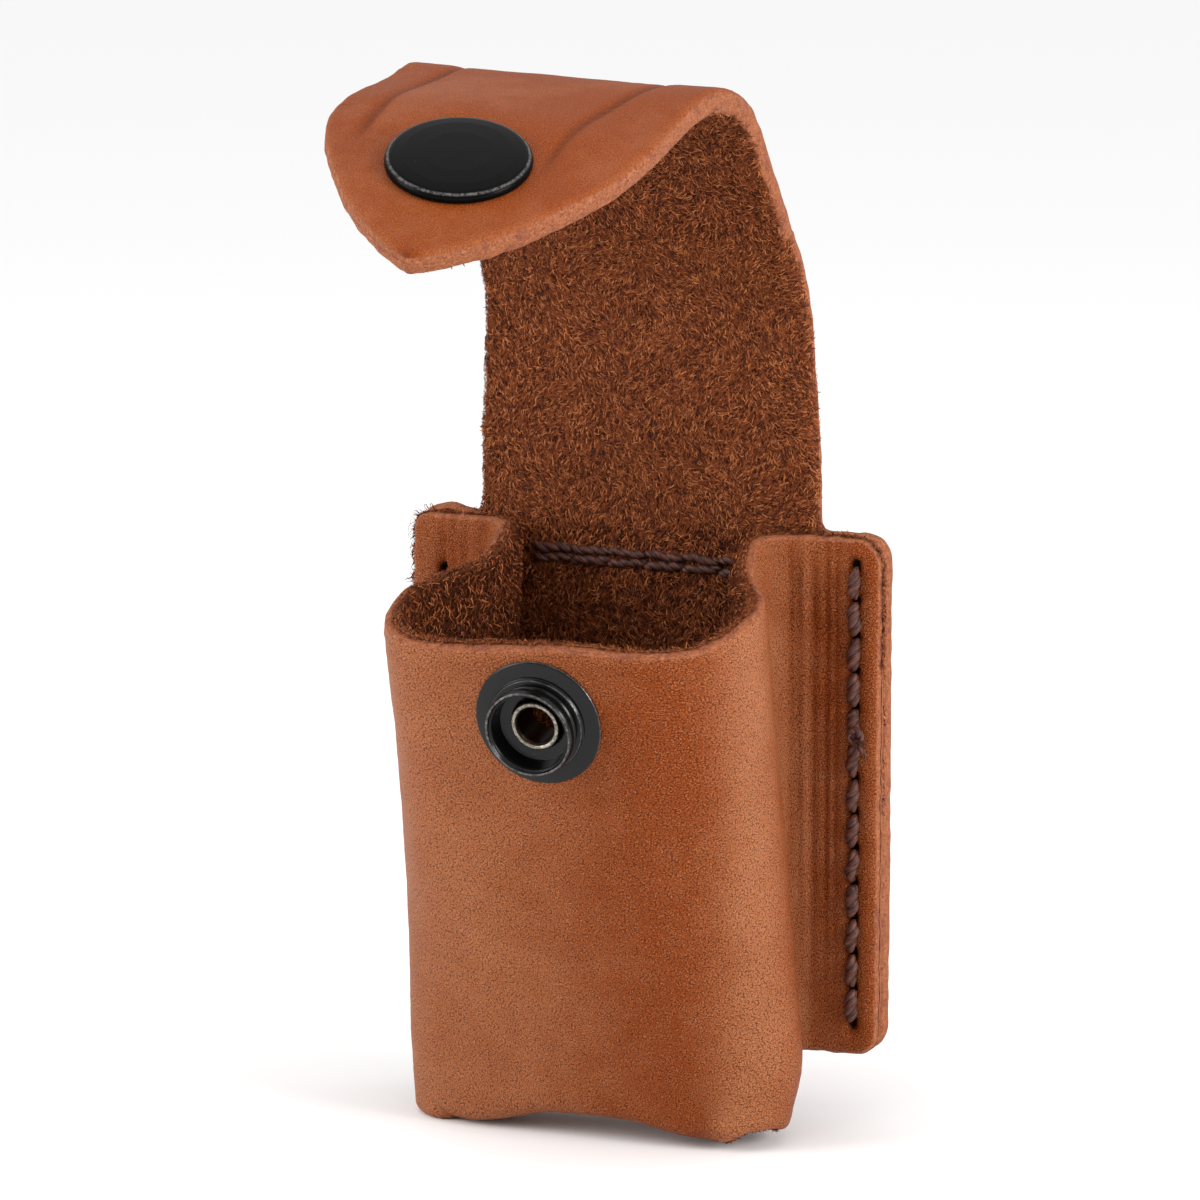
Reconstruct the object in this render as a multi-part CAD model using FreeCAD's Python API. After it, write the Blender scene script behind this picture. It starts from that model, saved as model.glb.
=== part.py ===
import FreeCAD, Part
import math
import os

# Wet-moulded leather belt pouch with a snap flap.
# Design axes in mm: X across, -Y towards the front, +Z up.  Y = 0 is the seam between the flanges of the
# front shell and the back panel; Z = 0 is the underside of the pouch at its middle.
# Everything is moved at the end so that the origin is the bottom centre of the overall box.

Vec = FreeCAD.Vector

# --- leather ---------------------------------------------------------------
T = 2.8                         # thickness of shell, back panel and flap
LOOP_T = 2.4                    # thickness of the belt loop
PANEL_BOTTOM = 8.0              # lower edge of flanges and back panel
PANEL_TOP = 64.5                # shoulders of the back panel, top of the flanges
PANEL_WIDTH = 55.2
BODY_BOTTOM = -1.0              # the two lower corners hang this low
SCOOP_TOP = 1.4                 # underside of the turned-under lip at the middle
SCOOP_HALF_WIDTH = 15.0
LIP_THICKNESS = 2.8
LIP_BACK = -9.8                 # how far back the turned-under lip reaches
LIP_OVERLAP = 0.6               # the lip runs this far into the corner walls
PANEL_CORNER_R = 3.0
FAR = 90.0                      # outside the pouch in every direction, for cutting shapes
BELOW = -6.0                    # under the lowest point

# --- front shell: half of the mid-line of its plan section, at the bottom and at the top ---------
SHELL_SECTION_BOTTOM = [
    (27.6, -1.4), (23.5, -1.4), (20.2, -1.8), (18.1, -3.4), (17.7, -5.2), (18.9, -7.2), (20.7, -9.0),
    (21.8, -10.8), (21.7, -12.6), (20.2, -14.6), (16.8, -16.1), (11.5, -16.6), (5.5, -16.6), (0.0, -16.6)]
SHELL_SECTION_TOP = [
    (27.6, -1.4), (21.0, -1.4), (17.4, -1.9), (14.8, -3.9), (14.1, -7.0), (15.0, -10.6), (17.3, -14.6),
    (18.9, -18.8), (19.1, -23.6), (18.3, -28.0), (15.4, -32.0), (10.5, -33.8), (5.0, -34.1), (0.0, -34.1)]
WALL = 2.85                     # wall measured level, on the leaning front
SECTION_SAMPLES = 56
FRONT_LEAN = 15.0               # degrees: the front face leans back towards its foot
RIM_PROFILE = [                 # (y, z) of the mouth, seen from the side
    (-4.2, 64.5), (-6.0, 64.0), (-7.8, 62.6), (-10.5, 61.0), (-15.0, 59.7), (-20.0, 58.7), (-25.0, 57.4),
    (-29.0, 56.1), (-34.0, 54.8)]
FOOT_PROFILE = [                # (y, z) of the lower edge, seen from the side
    (-3.6, 8.0), (-5.2, 6.8), (-6.2, 4.4), (-7.2, 2.2), (-8.6, 0.6), (-10.2, -0.5), (-12.0, -1.0)]

# --- flap: mid-line seen from the side, foot to tip -------------------------------------------
BACK_BEND = (0.60, 81.92)       # fold over the back edge of the contents
FRONT_BEND = (-19.19, 113.05)   # fold over the front edge
TWIST_POINT = (-43.05, 111.23)  # the flap twists a little here along its own length
RISER_LINE = [(1.4, 8.0), (1.4, 68.0), (1.05, 77.0), BACK_BEND]
MID_LINE = [
    BACK_BEND, (0.25, 86.0), (-0.6, 89.5), (-1.8, 92.3), (-3.5, 94.9), (-5.6, 97.6), (-7.7, 100.4),
    (-9.8, 103.2), (-12.0, 106.0), (-14.2, 108.7), (-16.5, 111.2), FRONT_BEND]
ROOF_LINE = [
    FRONT_BEND, (-22.4, 114.3), (-27.0, 114.7), (-33.0, 114.0), (-38.5, 112.8), TWIST_POINT]
RISER_HALF_WIDTHS = [(PANEL_TOP, 19.7), (74.0, 19.6), (89.0, 18.7), (118.0, 18.1)]
TIP_TILT = 26.0                 # degrees below level, along the tongue
TIP_ROLL = 9.0                  # degrees, right side down
TIP_BACK = -9.5                 # tongue's root, measured from the snap
TIP_OUTLINE = [                 # (distance beyond the snap, half width)
    (-9.5, 17.4), (-7.0, 17.0), (-4.0, 16.2), (-1.0, 15.0), (2.0, 13.4), (5.0, 11.7), (8.0, 9.9),
    (11.5, 7.2), (14.3, 4.2), (15.9, 1.8), (16.4, 0.0)]
PINCH = 0.17                    # half gap left at each fold line
BACK_BEND_RELIEF = (1.10, 0.65)   # cut back at flesh side, at grain side
FRONT_BEND_RELIEF = (0.55, 0.75)

# --- belt loop ---------------------------------------------------------------
LOOP_HALF_WIDTH = 17.0
LOOP_LINE = [(4.0, 9.5), (4.0, 17.0), (6.0, 19.6), (9.6, 22.5), (10.6, 26.0), (10.6, 48.0), (9.6, 51.5),
             (6.0, 54.4), (4.0, 57.0), (4.0, 64.0)]

# --- thread ------------------------------------------------------------------
THREAD_R = 0.65
THREAD_CLEARANCE = 0.25         # the flange bows forward by up to 0.2 here, and the thread lies clear of it
STITCH_PITCH = 3.9
STITCH_LENGTH = 3.5
SIDE_SEAM_X = 25.3
SIDE_SEAM_BOTTOM = 10.9
SIDE_STITCHES = 13
LOOP_SEAM_TOP = 60.4
LOOP_SEAM_BOTTOM = 13.2
LOOP_STITCHES = 6
KNOT_Z = 43.0
KNOT_R = 0.95
KNOT_ASIDE = 1.2
TAIL_LENGTH = 2.6

# --- ring snap ---------------------------------------------------------------
CAP_R = 7.5
CAP_HEIGHT = 1.5
CAP_POST_R = 2.2
POST_HOLE_R = 2.4
SNAP_GRAIN_POINT = (-52.20, 108.33)   # (y, z) on the flap's upper face, below the cap
SOCKET_R = 6.7
SOCKET_BORE = 5.75
SOCKET_DEPTH = 3.4
SOCKET_BASE = 0.5
SPRING_WIRE_R = 0.4
SPRING_R = 5.2                  # centre of the wire
SPRING_GAP_HALF_ANGLE = 20.0
SPRING_HEIGHT = 2.45            # below the flap's underside
STUD_POINT = (-31.04, 47.60)    # (y, z) on the outer face of the shell
STUD_FLANGE_R = 7.1
STUD_FLANGE_T = 0.5
STUD_NECK_R = 4.4
STUD_HEAD_R = 4.94
STUD_HEIGHT = 3.3
STUD_CUP_R = 3.9
EYELET_R = 2.7
EYELET_BORE = 2.2
EYELET_HOLE_R = 2.95
EYELET_FLANGE_R = 6.0
EYELET_FLANGE_T = 0.5
EYELET_STAND = 1.5              # rolled end, above the shell's outer face


def smooth_curve(points):
    """B-spline through the points."""
    curve = Part.BSplineCurve()
    curve.interpolate(points)
    return curve


def shell_section(half, z, half_wall):
    """Closed wire of the shell's plan section at height z."""
    right = [Vec(x, y, z) for x, y in half]
    left = [Vec(-x, y, z) for x, y in reversed(half[:-1])]
    middle = smooth_curve(right + left)
    outer = []
    inner = []
    first, last = middle.FirstParameter, middle.LastParameter
    for i in range(SECTION_SAMPLES + 1):
        u = first + (last - first) * i / SECTION_SAMPLES
        p = middle.value(u)
        t = middle.tangent(u)[0]
        n = Vec(-t.y, t.x, 0)
        outer.append(p + n * half_wall)
        inner.append(p - n * half_wall)
    edges = [
        smooth_curve(outer).toShape(),
        Part.makeLine(outer[-1], inner[-1]),
        smooth_curve(list(reversed(inner))).toShape(),
        Part.makeLine(inner[0], outer[0])]
    return Part.Wire(edges)


def prism_x(points, half_width):
    """Solid with the given (y, z) outline, between -half_width and +half_width in X."""
    corners = [Vec(-half_width, y, z) for y, z in points]
    face = Part.Face(Part.makePolygon(corners + corners[:1]))
    return face.extrude(Vec(2 * half_width, 0, 0))


def face_frame(y, z, length_dir, roll):
    """Placement with local X across, local Y along length_dir and local Z out of the leather's face."""
    v = Vec(0, length_dir[0], length_dir[1])
    v.normalize()
    across = Vec(1, 0, 0)
    if roll:
        across = FreeCAD.Rotation(v, roll).multVec(across)
    out = v.cross(across)
    m = FreeCAD.Matrix(
        -across.x, v.x, out.x, 0,
        -across.y, v.y, out.y, y,
        -across.z, v.z, out.z, z,
        0, 0, 0, 1)
    return FreeCAD.Placement(m)


def stud_frame():
    """Frame on the shell's outer face at the stud, local Z pointing forward and slightly down."""
    a = math.radians(FRONT_LEAN)
    return face_frame(STUD_POINT[0], STUD_POINT[1], (math.sin(a), -math.cos(a)), 0)


def cap_frame():
    """Frame on the flap's upper face at the snap, local Z out of the grain side."""
    a = math.radians(TIP_TILT)
    y, z = SNAP_GRAIN_POINT
    middle = Vec(0, y + math.sin(a) * T / 2, z - math.cos(a) * T / 2)
    frame = face_frame(middle.y, middle.z, (-math.cos(a), -math.sin(a)), -TIP_ROLL)
    return frame.multiply(FreeCAD.Placement(Vec(0, 0, T / 2), FreeCAD.Rotation()))


def turned(profile):
    """Solid of revolution about local Z from an (r, z) outline."""
    points = [Vec(r, 0, z) for r, z in profile]
    face = Part.Face(Part.makePolygon(points + points[:1]))
    return face.revolve(Vec(0, 0, 0), Vec(0, 0, 1), 360)


def placed(shape, frame):
    """Copy of a shape moved from a local frame into the design axes."""
    moved = shape.copy()
    moved.transformShape(frame.toMatrix())
    return moved


def rod(p, q, radius):
    """Thread run with rounded ends between two points."""
    axis = q - p
    body = Part.makeCylinder(radius, axis.Length, p, axis)
    for end in (p, q):
        body = body.fuse(Part.makeSphere(radius, end))
    return body.removeSplitter()


def half_width_at(z):
    """Flap's half width at height z."""
    for (z0, w0), (z1, w1) in zip(RISER_HALF_WIDTHS, RISER_HALF_WIDTHS[1:]):
        if z <= z1:
            return w0 + (w1 - w0) * (z - z0) / (z1 - z0)
    return RISER_HALF_WIDTHS[-1][1]


def strip_outline(line, start_relief, end_relief):
    """Outline of a bent strip of thickness T; each end is a shallow point on its fold line."""
    flesh = []
    grain = []
    count = len(line)
    for i, (y, z) in enumerate(line):
        y0, z0 = line[max(i - 1, 0)]
        y1, z1 = line[min(i + 1, count - 1)]
        length = math.hypot(y1 - y0, z1 - z0)
        ty, tz = (y1 - y0) / length, (z1 - z0) / length
        shift_flesh = 0.0
        shift_grain = 0.0
        if i == 0 and start_relief:
            shift_flesh, shift_grain = start_relief
        if i == count - 1 and end_relief:
            shift_flesh, shift_grain = -end_relief[0], -end_relief[1]
        flesh.append((y - tz * T / 2 + ty * shift_flesh, z + ty * T / 2 + tz * shift_flesh))
        grain.append((y + tz * T / 2 + ty * shift_grain, z - ty * T / 2 + tz * shift_grain))
    outline = list(flesh)
    if end_relief:
        outline.append(pinch_point(line[-1], line[-2]))
    outline += list(reversed(grain))
    if start_relief:
        outline.append(pinch_point(line[0], line[1]))
    return outline


def pinch_point(end, neighbour):
    """Point just short of the fold line."""
    dy, dz = neighbour[0] - end[0], neighbour[1] - end[1]
    length = math.hypot(dy, dz)
    return (end[0] + dy / length * PINCH, end[1] + dz / length * PINCH)


def flap_outline_cutter():
    """Prism with the flap's front outline, used to taper the strip."""
    zs = [z for z, _ in RISER_HALF_WIDTHS]
    right = [Vec(half_width_at(z), -FAR, z) for z in zs]
    left = [Vec(-p.x, p.y, p.z) for p in reversed(right)]
    face = Part.Face(Part.makePolygon(right + left + right[:1]))
    return face.extrude(Vec(0, 2 * FAR, 0))


def make_front_shell():
    bottom = shell_section(SHELL_SECTION_BOTTOM, BODY_BOTTOM, WALL / 2)
    top = shell_section(SHELL_SECTION_TOP, PANEL_TOP, WALL / 2)
    shell = Part.makeLoft([bottom, top], True, True)
    bounds = Part.makeBox(PANEL_WIDTH, FAR, FAR - BELOW, Vec(-PANEL_WIDTH / 2, -FAR, BELOW))
    shell = shell.common(bounds)

    lean = math.tan(math.radians(FRONT_LEAN))
    lip_top = SCOOP_TOP + LIP_THICKNESS
    foot_y = SHELL_SECTION_BOTTOM[-1][1]
    lip_profile = [(foot_y, BODY_BOTTOM), (LIP_BACK, BODY_BOTTOM), (LIP_BACK, lip_top),
                   (foot_y - (lip_top - BODY_BOTTOM) * lean, lip_top)]
    shell = shell.fuse(prism_x(lip_profile, SCOOP_HALF_WIDTH + LIP_OVERLAP))

    half = SCOOP_HALF_WIDTH
    rise = SCOOP_TOP - BODY_BOTTOM
    radius = (half * half + rise * rise) / (2 * rise)
    behind_lip = LIP_BACK / 2
    scoop = Part.makeCylinder(radius, FAR + behind_lip, Vec(0, -FAR, SCOOP_TOP - radius), Vec(0, 1, 0))
    shell = shell.cut(scoop)

    above = RIM_PROFILE + [(-FAR, RIM_PROFILE[-1][1]), (-FAR, FAR), (RIM_PROFILE[0][0], FAR)]
    shell = shell.cut(prism_x(above, PANEL_WIDTH))
    below = [(T, PANEL_BOTTOM)] + FOOT_PROFILE + [(FOOT_PROFILE[-1][0], BELOW), (T, BELOW)]
    shell = shell.cut(prism_x(below, PANEL_WIDTH))

    hole = Part.makeCylinder(EYELET_HOLE_R, 4 * T, Vec(0, 0, -3 * T), Vec(0, 0, 1))
    return shell.cut(placed(hole, stud_frame())).removeSplitter()


def make_back_panel():
    """Back of the pouch with the standing foot of the flap in one piece."""
    panel = Part.makeBox(PANEL_WIDTH, T, PANEL_TOP - PANEL_BOTTOM, Vec(-PANEL_WIDTH / 2, 0, PANEL_BOTTOM))
    upright = [e for e in panel.Edges if abs(e.Vertexes[0].Z - e.Vertexes[-1].Z) < 0.01
               and abs(e.Vertexes[0].Y - e.Vertexes[-1].Y) > 1.0]
    panel = panel.makeFillet(PANEL_CORNER_R, upright)
    strip = prism_x(strip_outline(RISER_LINE, None, BACK_BEND_RELIEF), PANEL_WIDTH)
    strip = strip.common(flap_outline_cutter())
    return panel.fuse(strip).removeSplitter()


def make_flap_mid():
    strip = prism_x(strip_outline(MID_LINE, BACK_BEND_RELIEF, FRONT_BEND_RELIEF), PANEL_WIDTH)
    return strip.common(flap_outline_cutter())


def make_flap_roof():
    line = list(ROOF_LINE)
    (y0, z0), (y1, z1) = line[-2], line[-1]
    length = math.hypot(y1 - y0, z1 - z0)
    line[-1] = (y1 - (y1 - y0) / length * PINCH, z1 - (z1 - z0) / length * PINCH)
    strip = prism_x(strip_outline(line, FRONT_BEND_RELIEF, None), PANEL_WIDTH)
    return strip.common(flap_outline_cutter())


def make_flap_tip():
    """Pointed tongue, a flat plate in the snap's own frame."""
    right = [Vec(w, v, 0) for v, w in TIP_OUTLINE]
    right[0] = Vec(right[0].x, right[0].y + PINCH + 0.2, 0)
    left = [Vec(-p.x, p.y, 0) for p in reversed(right[:-1])]
    face = Part.Face(Part.makePolygon(right + left + right[:1]))
    plate = face.extrude(Vec(0, 0, -T))
    hole = Part.makeCylinder(POST_HOLE_R, 2 * T, Vec(0, 0, -1.5 * T), Vec(0, 0, 1))
    return placed(plate.cut(hole), cap_frame())


def make_belt_loop():
    half_t = LOOP_T / 2
    inner = []
    outer = []
    count = len(LOOP_LINE)
    for i, (y, z) in enumerate(LOOP_LINE):
        y0, z0 = LOOP_LINE[max(i - 1, 0)]
        y1, z1 = LOOP_LINE[min(i + 1, count - 1)]
        length = math.hypot(y1 - y0, z1 - z0)
        ty, tz = (y1 - y0) / length, (z1 - z0) / length
        inner.append((max(y - tz * half_t, T), z + ty * half_t))
        outer.append((y + tz * half_t, z - ty * half_t))
    return prism_x(inner + list(reversed(outer)), LOOP_HALF_WIDTH)


def side_stitches(side):
    """Thread runs of one side seam, on the front of the flange and on the back of the panel."""
    runs = []
    for i in range(SIDE_STITCHES):
        z = SIDE_SEAM_BOTTOM + STITCH_PITCH * (i + 0.5)
        for y in (-T - THREAD_R - THREAD_CLEARANCE, T + THREAD_R):
            p = Vec(side * SIDE_SEAM_X, y, z - STITCH_LENGTH / 2 + THREAD_R)
            q = Vec(side * SIDE_SEAM_X, y, z + STITCH_LENGTH / 2 - THREAD_R)
            runs.append(rod(p, q, THREAD_R))
    return runs


def make_side_stitches_left():
    return Part.makeCompound(side_stitches(-1))


def make_side_stitches_right():
    """Right seam, with the knot and the short cut tail beside it."""
    knot_at = Vec(SIDE_SEAM_X + KNOT_ASIDE, -T - KNOT_R - THREAD_CLEARANCE, KNOT_Z)
    tail_end = knot_at + Vec(0.2, -0.2, -TAIL_LENGTH)
    knot = Part.makeSphere(KNOT_R, knot_at).fuse(rod(knot_at, tail_end, THREAD_R * 0.7))
    return Part.makeCompound(side_stitches(1) + [knot])


def loop_stitches(z):
    """Level row of thread runs that holds one end of the belt loop."""
    runs = []
    for i in range(LOOP_STITCHES):
        x = STITCH_PITCH * (i + 0.5 - LOOP_STITCHES / 2)
        for y in (-THREAD_R, T + LOOP_T + THREAD_R):
            p = Vec(x - STITCH_LENGTH / 2 + THREAD_R, y, z)
            q = Vec(x + STITCH_LENGTH / 2 - THREAD_R, y, z)
            runs.append(rod(p, q, THREAD_R))
    return Part.makeCompound(runs)


def make_loop_stitches_upper():
    return loop_stitches(LOOP_SEAM_TOP)


def make_loop_stitches_lower():
    return loop_stitches(LOOP_SEAM_BOTTOM)


def make_snap_cap():
    """Low domed cap with a rolled rim and the post that goes through the flap."""
    profile = [(0, CAP_HEIGHT), (4.0, CAP_HEIGHT - 0.15), (6.6, CAP_HEIGHT - 0.5), (CAP_R, CAP_HEIGHT - 1.0),
               (CAP_R, 0.1), (CAP_R - 0.3, 0), (CAP_POST_R, 0), (CAP_POST_R, -T - SOCKET_BASE),
               (0, -T - SOCKET_BASE)]
    return placed(turned(profile), cap_frame())


def make_snap_socket():
    """Cup on the flap's underside; its lip keeps the spring in."""
    top = -T
    profile = [(CAP_POST_R + 0.1, top), (SOCKET_R, top), (SOCKET_R, top - SOCKET_DEPTH + 0.3),
               (SOCKET_R - 0.3, top - SOCKET_DEPTH), (SOCKET_BORE, top - SOCKET_DEPTH),
               (SOCKET_BORE, top - SOCKET_BASE), (CAP_POST_R + 0.1, top - SOCKET_BASE)]
    return placed(turned(profile), cap_frame())


def make_snap_ring_spring():
    """Open ring of round wire inside the socket."""
    circle = Part.Wire(Part.makeCircle(SPRING_WIRE_R, Vec(SPRING_R, 0, 0), Vec(0, 1, 0)))
    start = SPRING_GAP_HALF_ANGLE
    ring = Part.Face(circle).revolve(Vec(0, 0, 0), Vec(0, 0, 1), 360 - 2 * start)
    ring.rotate(Vec(0, 0, 0), Vec(0, 0, 1), start)
    ring.translate(Vec(0, 0, -T - SPRING_HEIGHT))
    return placed(ring, cap_frame())


def make_snap_stud():
    """Flange, waisted neck and rounded head with a deep cup, open for the eyelet."""
    h = STUD_HEIGHT
    profile = [(EYELET_R + 0.1, 0), (STUD_FLANGE_R, 0), (STUD_FLANGE_R, 0.25), (5.3, STUD_FLANGE_T),
               (STUD_NECK_R, STUD_FLANGE_T + 0.2), (STUD_NECK_R, h - 1.5), (STUD_HEAD_R, h - 1.0),
               (STUD_HEAD_R, h - 0.4), (STUD_HEAD_R - 0.35, h), (STUD_CUP_R, h - 0.1),
               (STUD_CUP_R - 0.1, STUD_FLANGE_T + 0.2), (EYELET_R + 0.1, STUD_FLANGE_T)]
    return placed(turned(profile), stud_frame())


def make_stud_eyelet():
    """Tube with a flange inside the pouch, rolled over inside the stud's cup."""
    back = -T - EYELET_FLANGE_T
    profile = [(EYELET_BORE, back), (EYELET_FLANGE_R, back), (EYELET_FLANGE_R, -T), (EYELET_R, -T),
               (EYELET_R, EYELET_STAND), (EYELET_R + 0.1, EYELET_STAND - 0.2),
               (EYELET_R + 0.45, EYELET_STAND - 0.1), (EYELET_R + 0.3, EYELET_STAND + 0.3),
               (EYELET_R - 0.2, EYELET_STAND + 0.4),
               (EYELET_BORE, EYELET_STAND + 0.1)]
    return placed(turned(profile), stud_frame())


def main():
    os.makedirs("parts", exist_ok=True)
    solids = {
        "front_shell": make_front_shell(),
        "back_panel": make_back_panel(),
        "flap_mid": make_flap_mid(),
        "flap_roof": make_flap_roof(),
        "flap_tip": make_flap_tip(),
        "belt_loop": make_belt_loop(),
        "side_stitches_left": make_side_stitches_left(),
        "side_stitches_right": make_side_stitches_right(),
        "loop_stitches_upper": make_loop_stitches_upper(),
        "loop_stitches_lower": make_loop_stitches_lower(),
        "snap_cap": make_snap_cap(),
        "snap_socket": make_snap_socket(),
        "snap_ring_spring": make_snap_ring_spring(),
        "snap_stud": make_snap_stud(),
        "stud_eyelet": make_stud_eyelet()}

    box = FreeCAD.BoundBox()
    for shape in solids.values():
        box.add(shape.optimalBoundingBox(False, False))
    shift = Vec(-box.Center.x, -box.Center.y, -box.ZMin)
    print("origin shift", shift)
    print("overall size", box.XLength, box.YLength, box.ZLength)
    for node, shape in solids.items():
        shape.translate(shift)
        print(node, "solids", len(shape.Solids), "volume", round(shape.Volume, 1), "valid", shape.isValid())
        shape.exportStep("parts/" + node + ".step")


main()
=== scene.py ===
import math

import bpy
import numpy as np
from mathutils import Matrix, Vector
from mathutils.geometry import delaunay_2d_cdt


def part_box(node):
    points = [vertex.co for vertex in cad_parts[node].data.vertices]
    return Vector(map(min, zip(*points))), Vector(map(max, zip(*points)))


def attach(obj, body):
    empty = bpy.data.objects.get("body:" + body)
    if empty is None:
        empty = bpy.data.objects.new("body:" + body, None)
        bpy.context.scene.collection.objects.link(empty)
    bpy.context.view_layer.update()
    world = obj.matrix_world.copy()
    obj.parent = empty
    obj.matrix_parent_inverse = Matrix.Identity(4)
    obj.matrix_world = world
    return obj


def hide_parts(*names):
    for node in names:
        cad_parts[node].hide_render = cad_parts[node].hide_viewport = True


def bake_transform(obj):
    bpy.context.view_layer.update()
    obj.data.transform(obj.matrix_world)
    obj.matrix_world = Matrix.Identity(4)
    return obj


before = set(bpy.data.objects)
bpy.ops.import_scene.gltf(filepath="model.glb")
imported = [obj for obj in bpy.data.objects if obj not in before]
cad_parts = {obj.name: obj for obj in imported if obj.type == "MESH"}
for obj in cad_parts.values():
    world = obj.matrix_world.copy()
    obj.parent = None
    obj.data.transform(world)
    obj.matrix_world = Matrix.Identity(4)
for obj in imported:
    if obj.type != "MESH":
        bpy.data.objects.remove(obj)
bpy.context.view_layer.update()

# Wet-moulded leather belt pouch with a snap flap.  All building is in the pouch's own mm axes:
# X across, -Y to the front, +Z up, Y = 0 at the seam between the flanges and the back panel.

MM = 0.001
T = 2.8                          # leather thickness
LOOP_T = 2.4                     # belt loop thickness
BODY_BOTTOM = -1.0
SEAM_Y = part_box("belt_loop")[0].y / MM - T
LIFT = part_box("front_shell")[0].z / MM - BODY_BOTTOM

# --- front shell: half of the plan section at the bottom and at the top, (x, y) of the mid-line ---
SHELL_LOW = [
    (27.6, -1.4), (23.5, -1.4), (20.2, -1.8), (18.1, -3.4), (17.7, -5.2), (18.9, -7.2), (20.7, -9.0),
    (21.8, -10.8), (21.7, -12.6), (20.2, -14.6), (16.8, -16.1), (11.5, -16.6), (5.5, -16.6), (0.0, -16.6)]
SHELL_HIGH = [
    (27.6, -1.4), (21.0, -1.4), (17.4, -1.9), (14.8, -3.9), (14.1, -7.0), (15.0, -10.6), (17.3, -14.6),
    (18.9, -18.8), (19.1, -23.6), (18.3, -28.0), (15.4, -32.0), (10.5, -33.8), (5.0, -34.1), (0.0, -34.1)]
SECTION_SPAN = 65.5              # height between the two sections
FLANGE_TOP = 64.5
FLANGE_BOTTOM = 7.2
# (y, z) of the mouth's rim, and of the lower cut edge at the corners and sides
RIM = [(-34.0, 54.8), (-29.0, 56.1), (-25.0, 57.4), (-20.0, 58.7), (-15.0, 59.7), (-10.5, 61.0),
       (-7.8, 62.6), (-6.0, 64.0), (-4.2, 64.5)]
FOOT = [(-12.0, -1.0), (-10.2, -0.5), (-8.6, 0.4), (-7.2, 1.8), (-6.2, 3.8), (-5.2, 6.0), (-3.6, 7.2)]
SCOOP_HEIGHT = 1.9               # the foot arches this much in the middle
SCOOP_HALF = 14.6                # half the arch's width
SCOOP_FALL = 11.5                # the arch falls away over this width
LIP_HALF = 18.8                  # the foot is turned under as far out as this
LIP_FADE = 3.6                   # and straightens over this width
RIGHT_LIFT = 0.6                 # the foot's right corner stands this much higher
FOOT_FRONT_Y = -14.0             # only the front of the foot is turned under
LIP_BEND = 1.6                   # radius of the turned-under bend
LIP_LENGTH = 8.8                 # from the middle of the bend to the cut edge
HOLE_R = 2.95                    # hole for the eyelet
EDGE_STEP = 0.55                 # spacing of the points along a cut edge
RIM_RISE = 0.85                  # the rim stands this much higher in the middle of the front

# --- flap strip: (y, z) of the mid-line from the bottom of the back panel to the tip ---
SNAP_MIDDLE = (-51.586, 107.072)
TIP_DIR = (-0.898794, -0.438371)
BACK_BEND = (0.60, 81.92)
ROOF_START = (-19.1, 112.6)
SPLIT_MIDDLE = (-5.6, 97.6)      # the strip is cut into pieces here, where it doesn't bend
SPLIT_ROOF = (-27.0, 113.95)
TWIST_POINT = (-43.05, 111.23)
TIP_REACH = 16.6                 # from the snap to the point of the tongue
TIP_DROOP = 0.5
STRIP_LINE = [
    (1.4, 7.2), (1.4, 30.0), (1.4, 52.0), (1.4, 68.0), (1.05, 77.0), BACK_BEND, (0.25, 86.0), (-0.6, 89.5),
    (-1.8, 92.3), (-3.5, 94.9), (-5.6, 97.6), (-7.7, 100.4), (-9.8, 103.2), (-12.0, 106.0), (-14.2, 108.7),
    (-16.4, 110.9), ROOF_START, (-22.4, 113.6), SPLIT_ROOF, (-33.0, 113.3), (-38.5, 112.35), TWIST_POINT,
    (-48.0, 108.83), SNAP_MIDDLE, (-57.0, 104.43),
    (SNAP_MIDDLE[0] + TIP_DIR[0] * TIP_REACH, SNAP_MIDDLE[1] + TIP_DIR[1] * TIP_REACH - TIP_DROOP)]
PANEL_LEFT = 27.1
PANEL_RIGHT = 27.9
TIP_WIDTHS = [(-9.5, 17.4), (-7.0, 17.0), (-4.0, 16.2), (-1.0, 15.0), (2.0, 13.4), (5.0, 11.7), (8.0, 9.9),
              (11.5, 6.9), (14.3, 3.7), (16.0, 1.3), (16.6, 0.0)]
TIP_ROLL = math.radians(10.5)    # right side down
TWIST_LENGTH = 15.0              # the roof twists over this length before the tongue
RIDGE_ROLL = math.radians(2.8)   # the ridge already leans this much

# --- belt loop, (y, z) of the mid-line ---
LOOP_LINE = [(4.0, 9.5), (4.0, 17.0), (6.0, 19.6), (9.6, 22.5), (10.6, 26.0), (10.6, 37.0), (10.6, 48.0),
             (9.6, 51.5), (6.0, 54.4), (4.0, 57.0), (4.0, 64.0)]
LOOP_HALF = 17.0                 # half width

# --- thread ---
THREAD_R = 0.62                  # radius of the thread
INNER_THREAD_R = 0.50            # the rows inside the mouth are pressed thinner
SEAMS = {-1: (-23.3, 3.646), 1: (25.3, 3.9)}     # x and stitch length of the left and right seams
SIDE_SEAM_BOTTOM = 10.9
SIDE_STITCHES = 13
LOOP_SEAM_TOP = 60.4
LOOP_SEAM_BOTTOM = 13.2
LOOP_STITCHES = 6
LOOP_PITCH = 4.4
LOOP_TILT = -0.02                # the rows run down to the right
KNOT = (26.3, -3.9, 43.0)

# --- snap ---
STUD_POINT = (0.0, -31.04, 47.60)
FRONT_LEAN = math.radians(15.0)
SPRING_RADIUS = 5.2
SPRING_WIRE_R = 0.4
SPRING_DEPTH = 2.45              # below the flap's lower face
HOLE_SHIFT = 0.4                 # the stud's axis meets the sheet's middle this much above its point

BIG = 1e9                        # beyond every size here
ANY = (-BIG, BIG)
random = np.random.default_rng(7)


# ------------------------------------------------------------------ small maths

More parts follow.
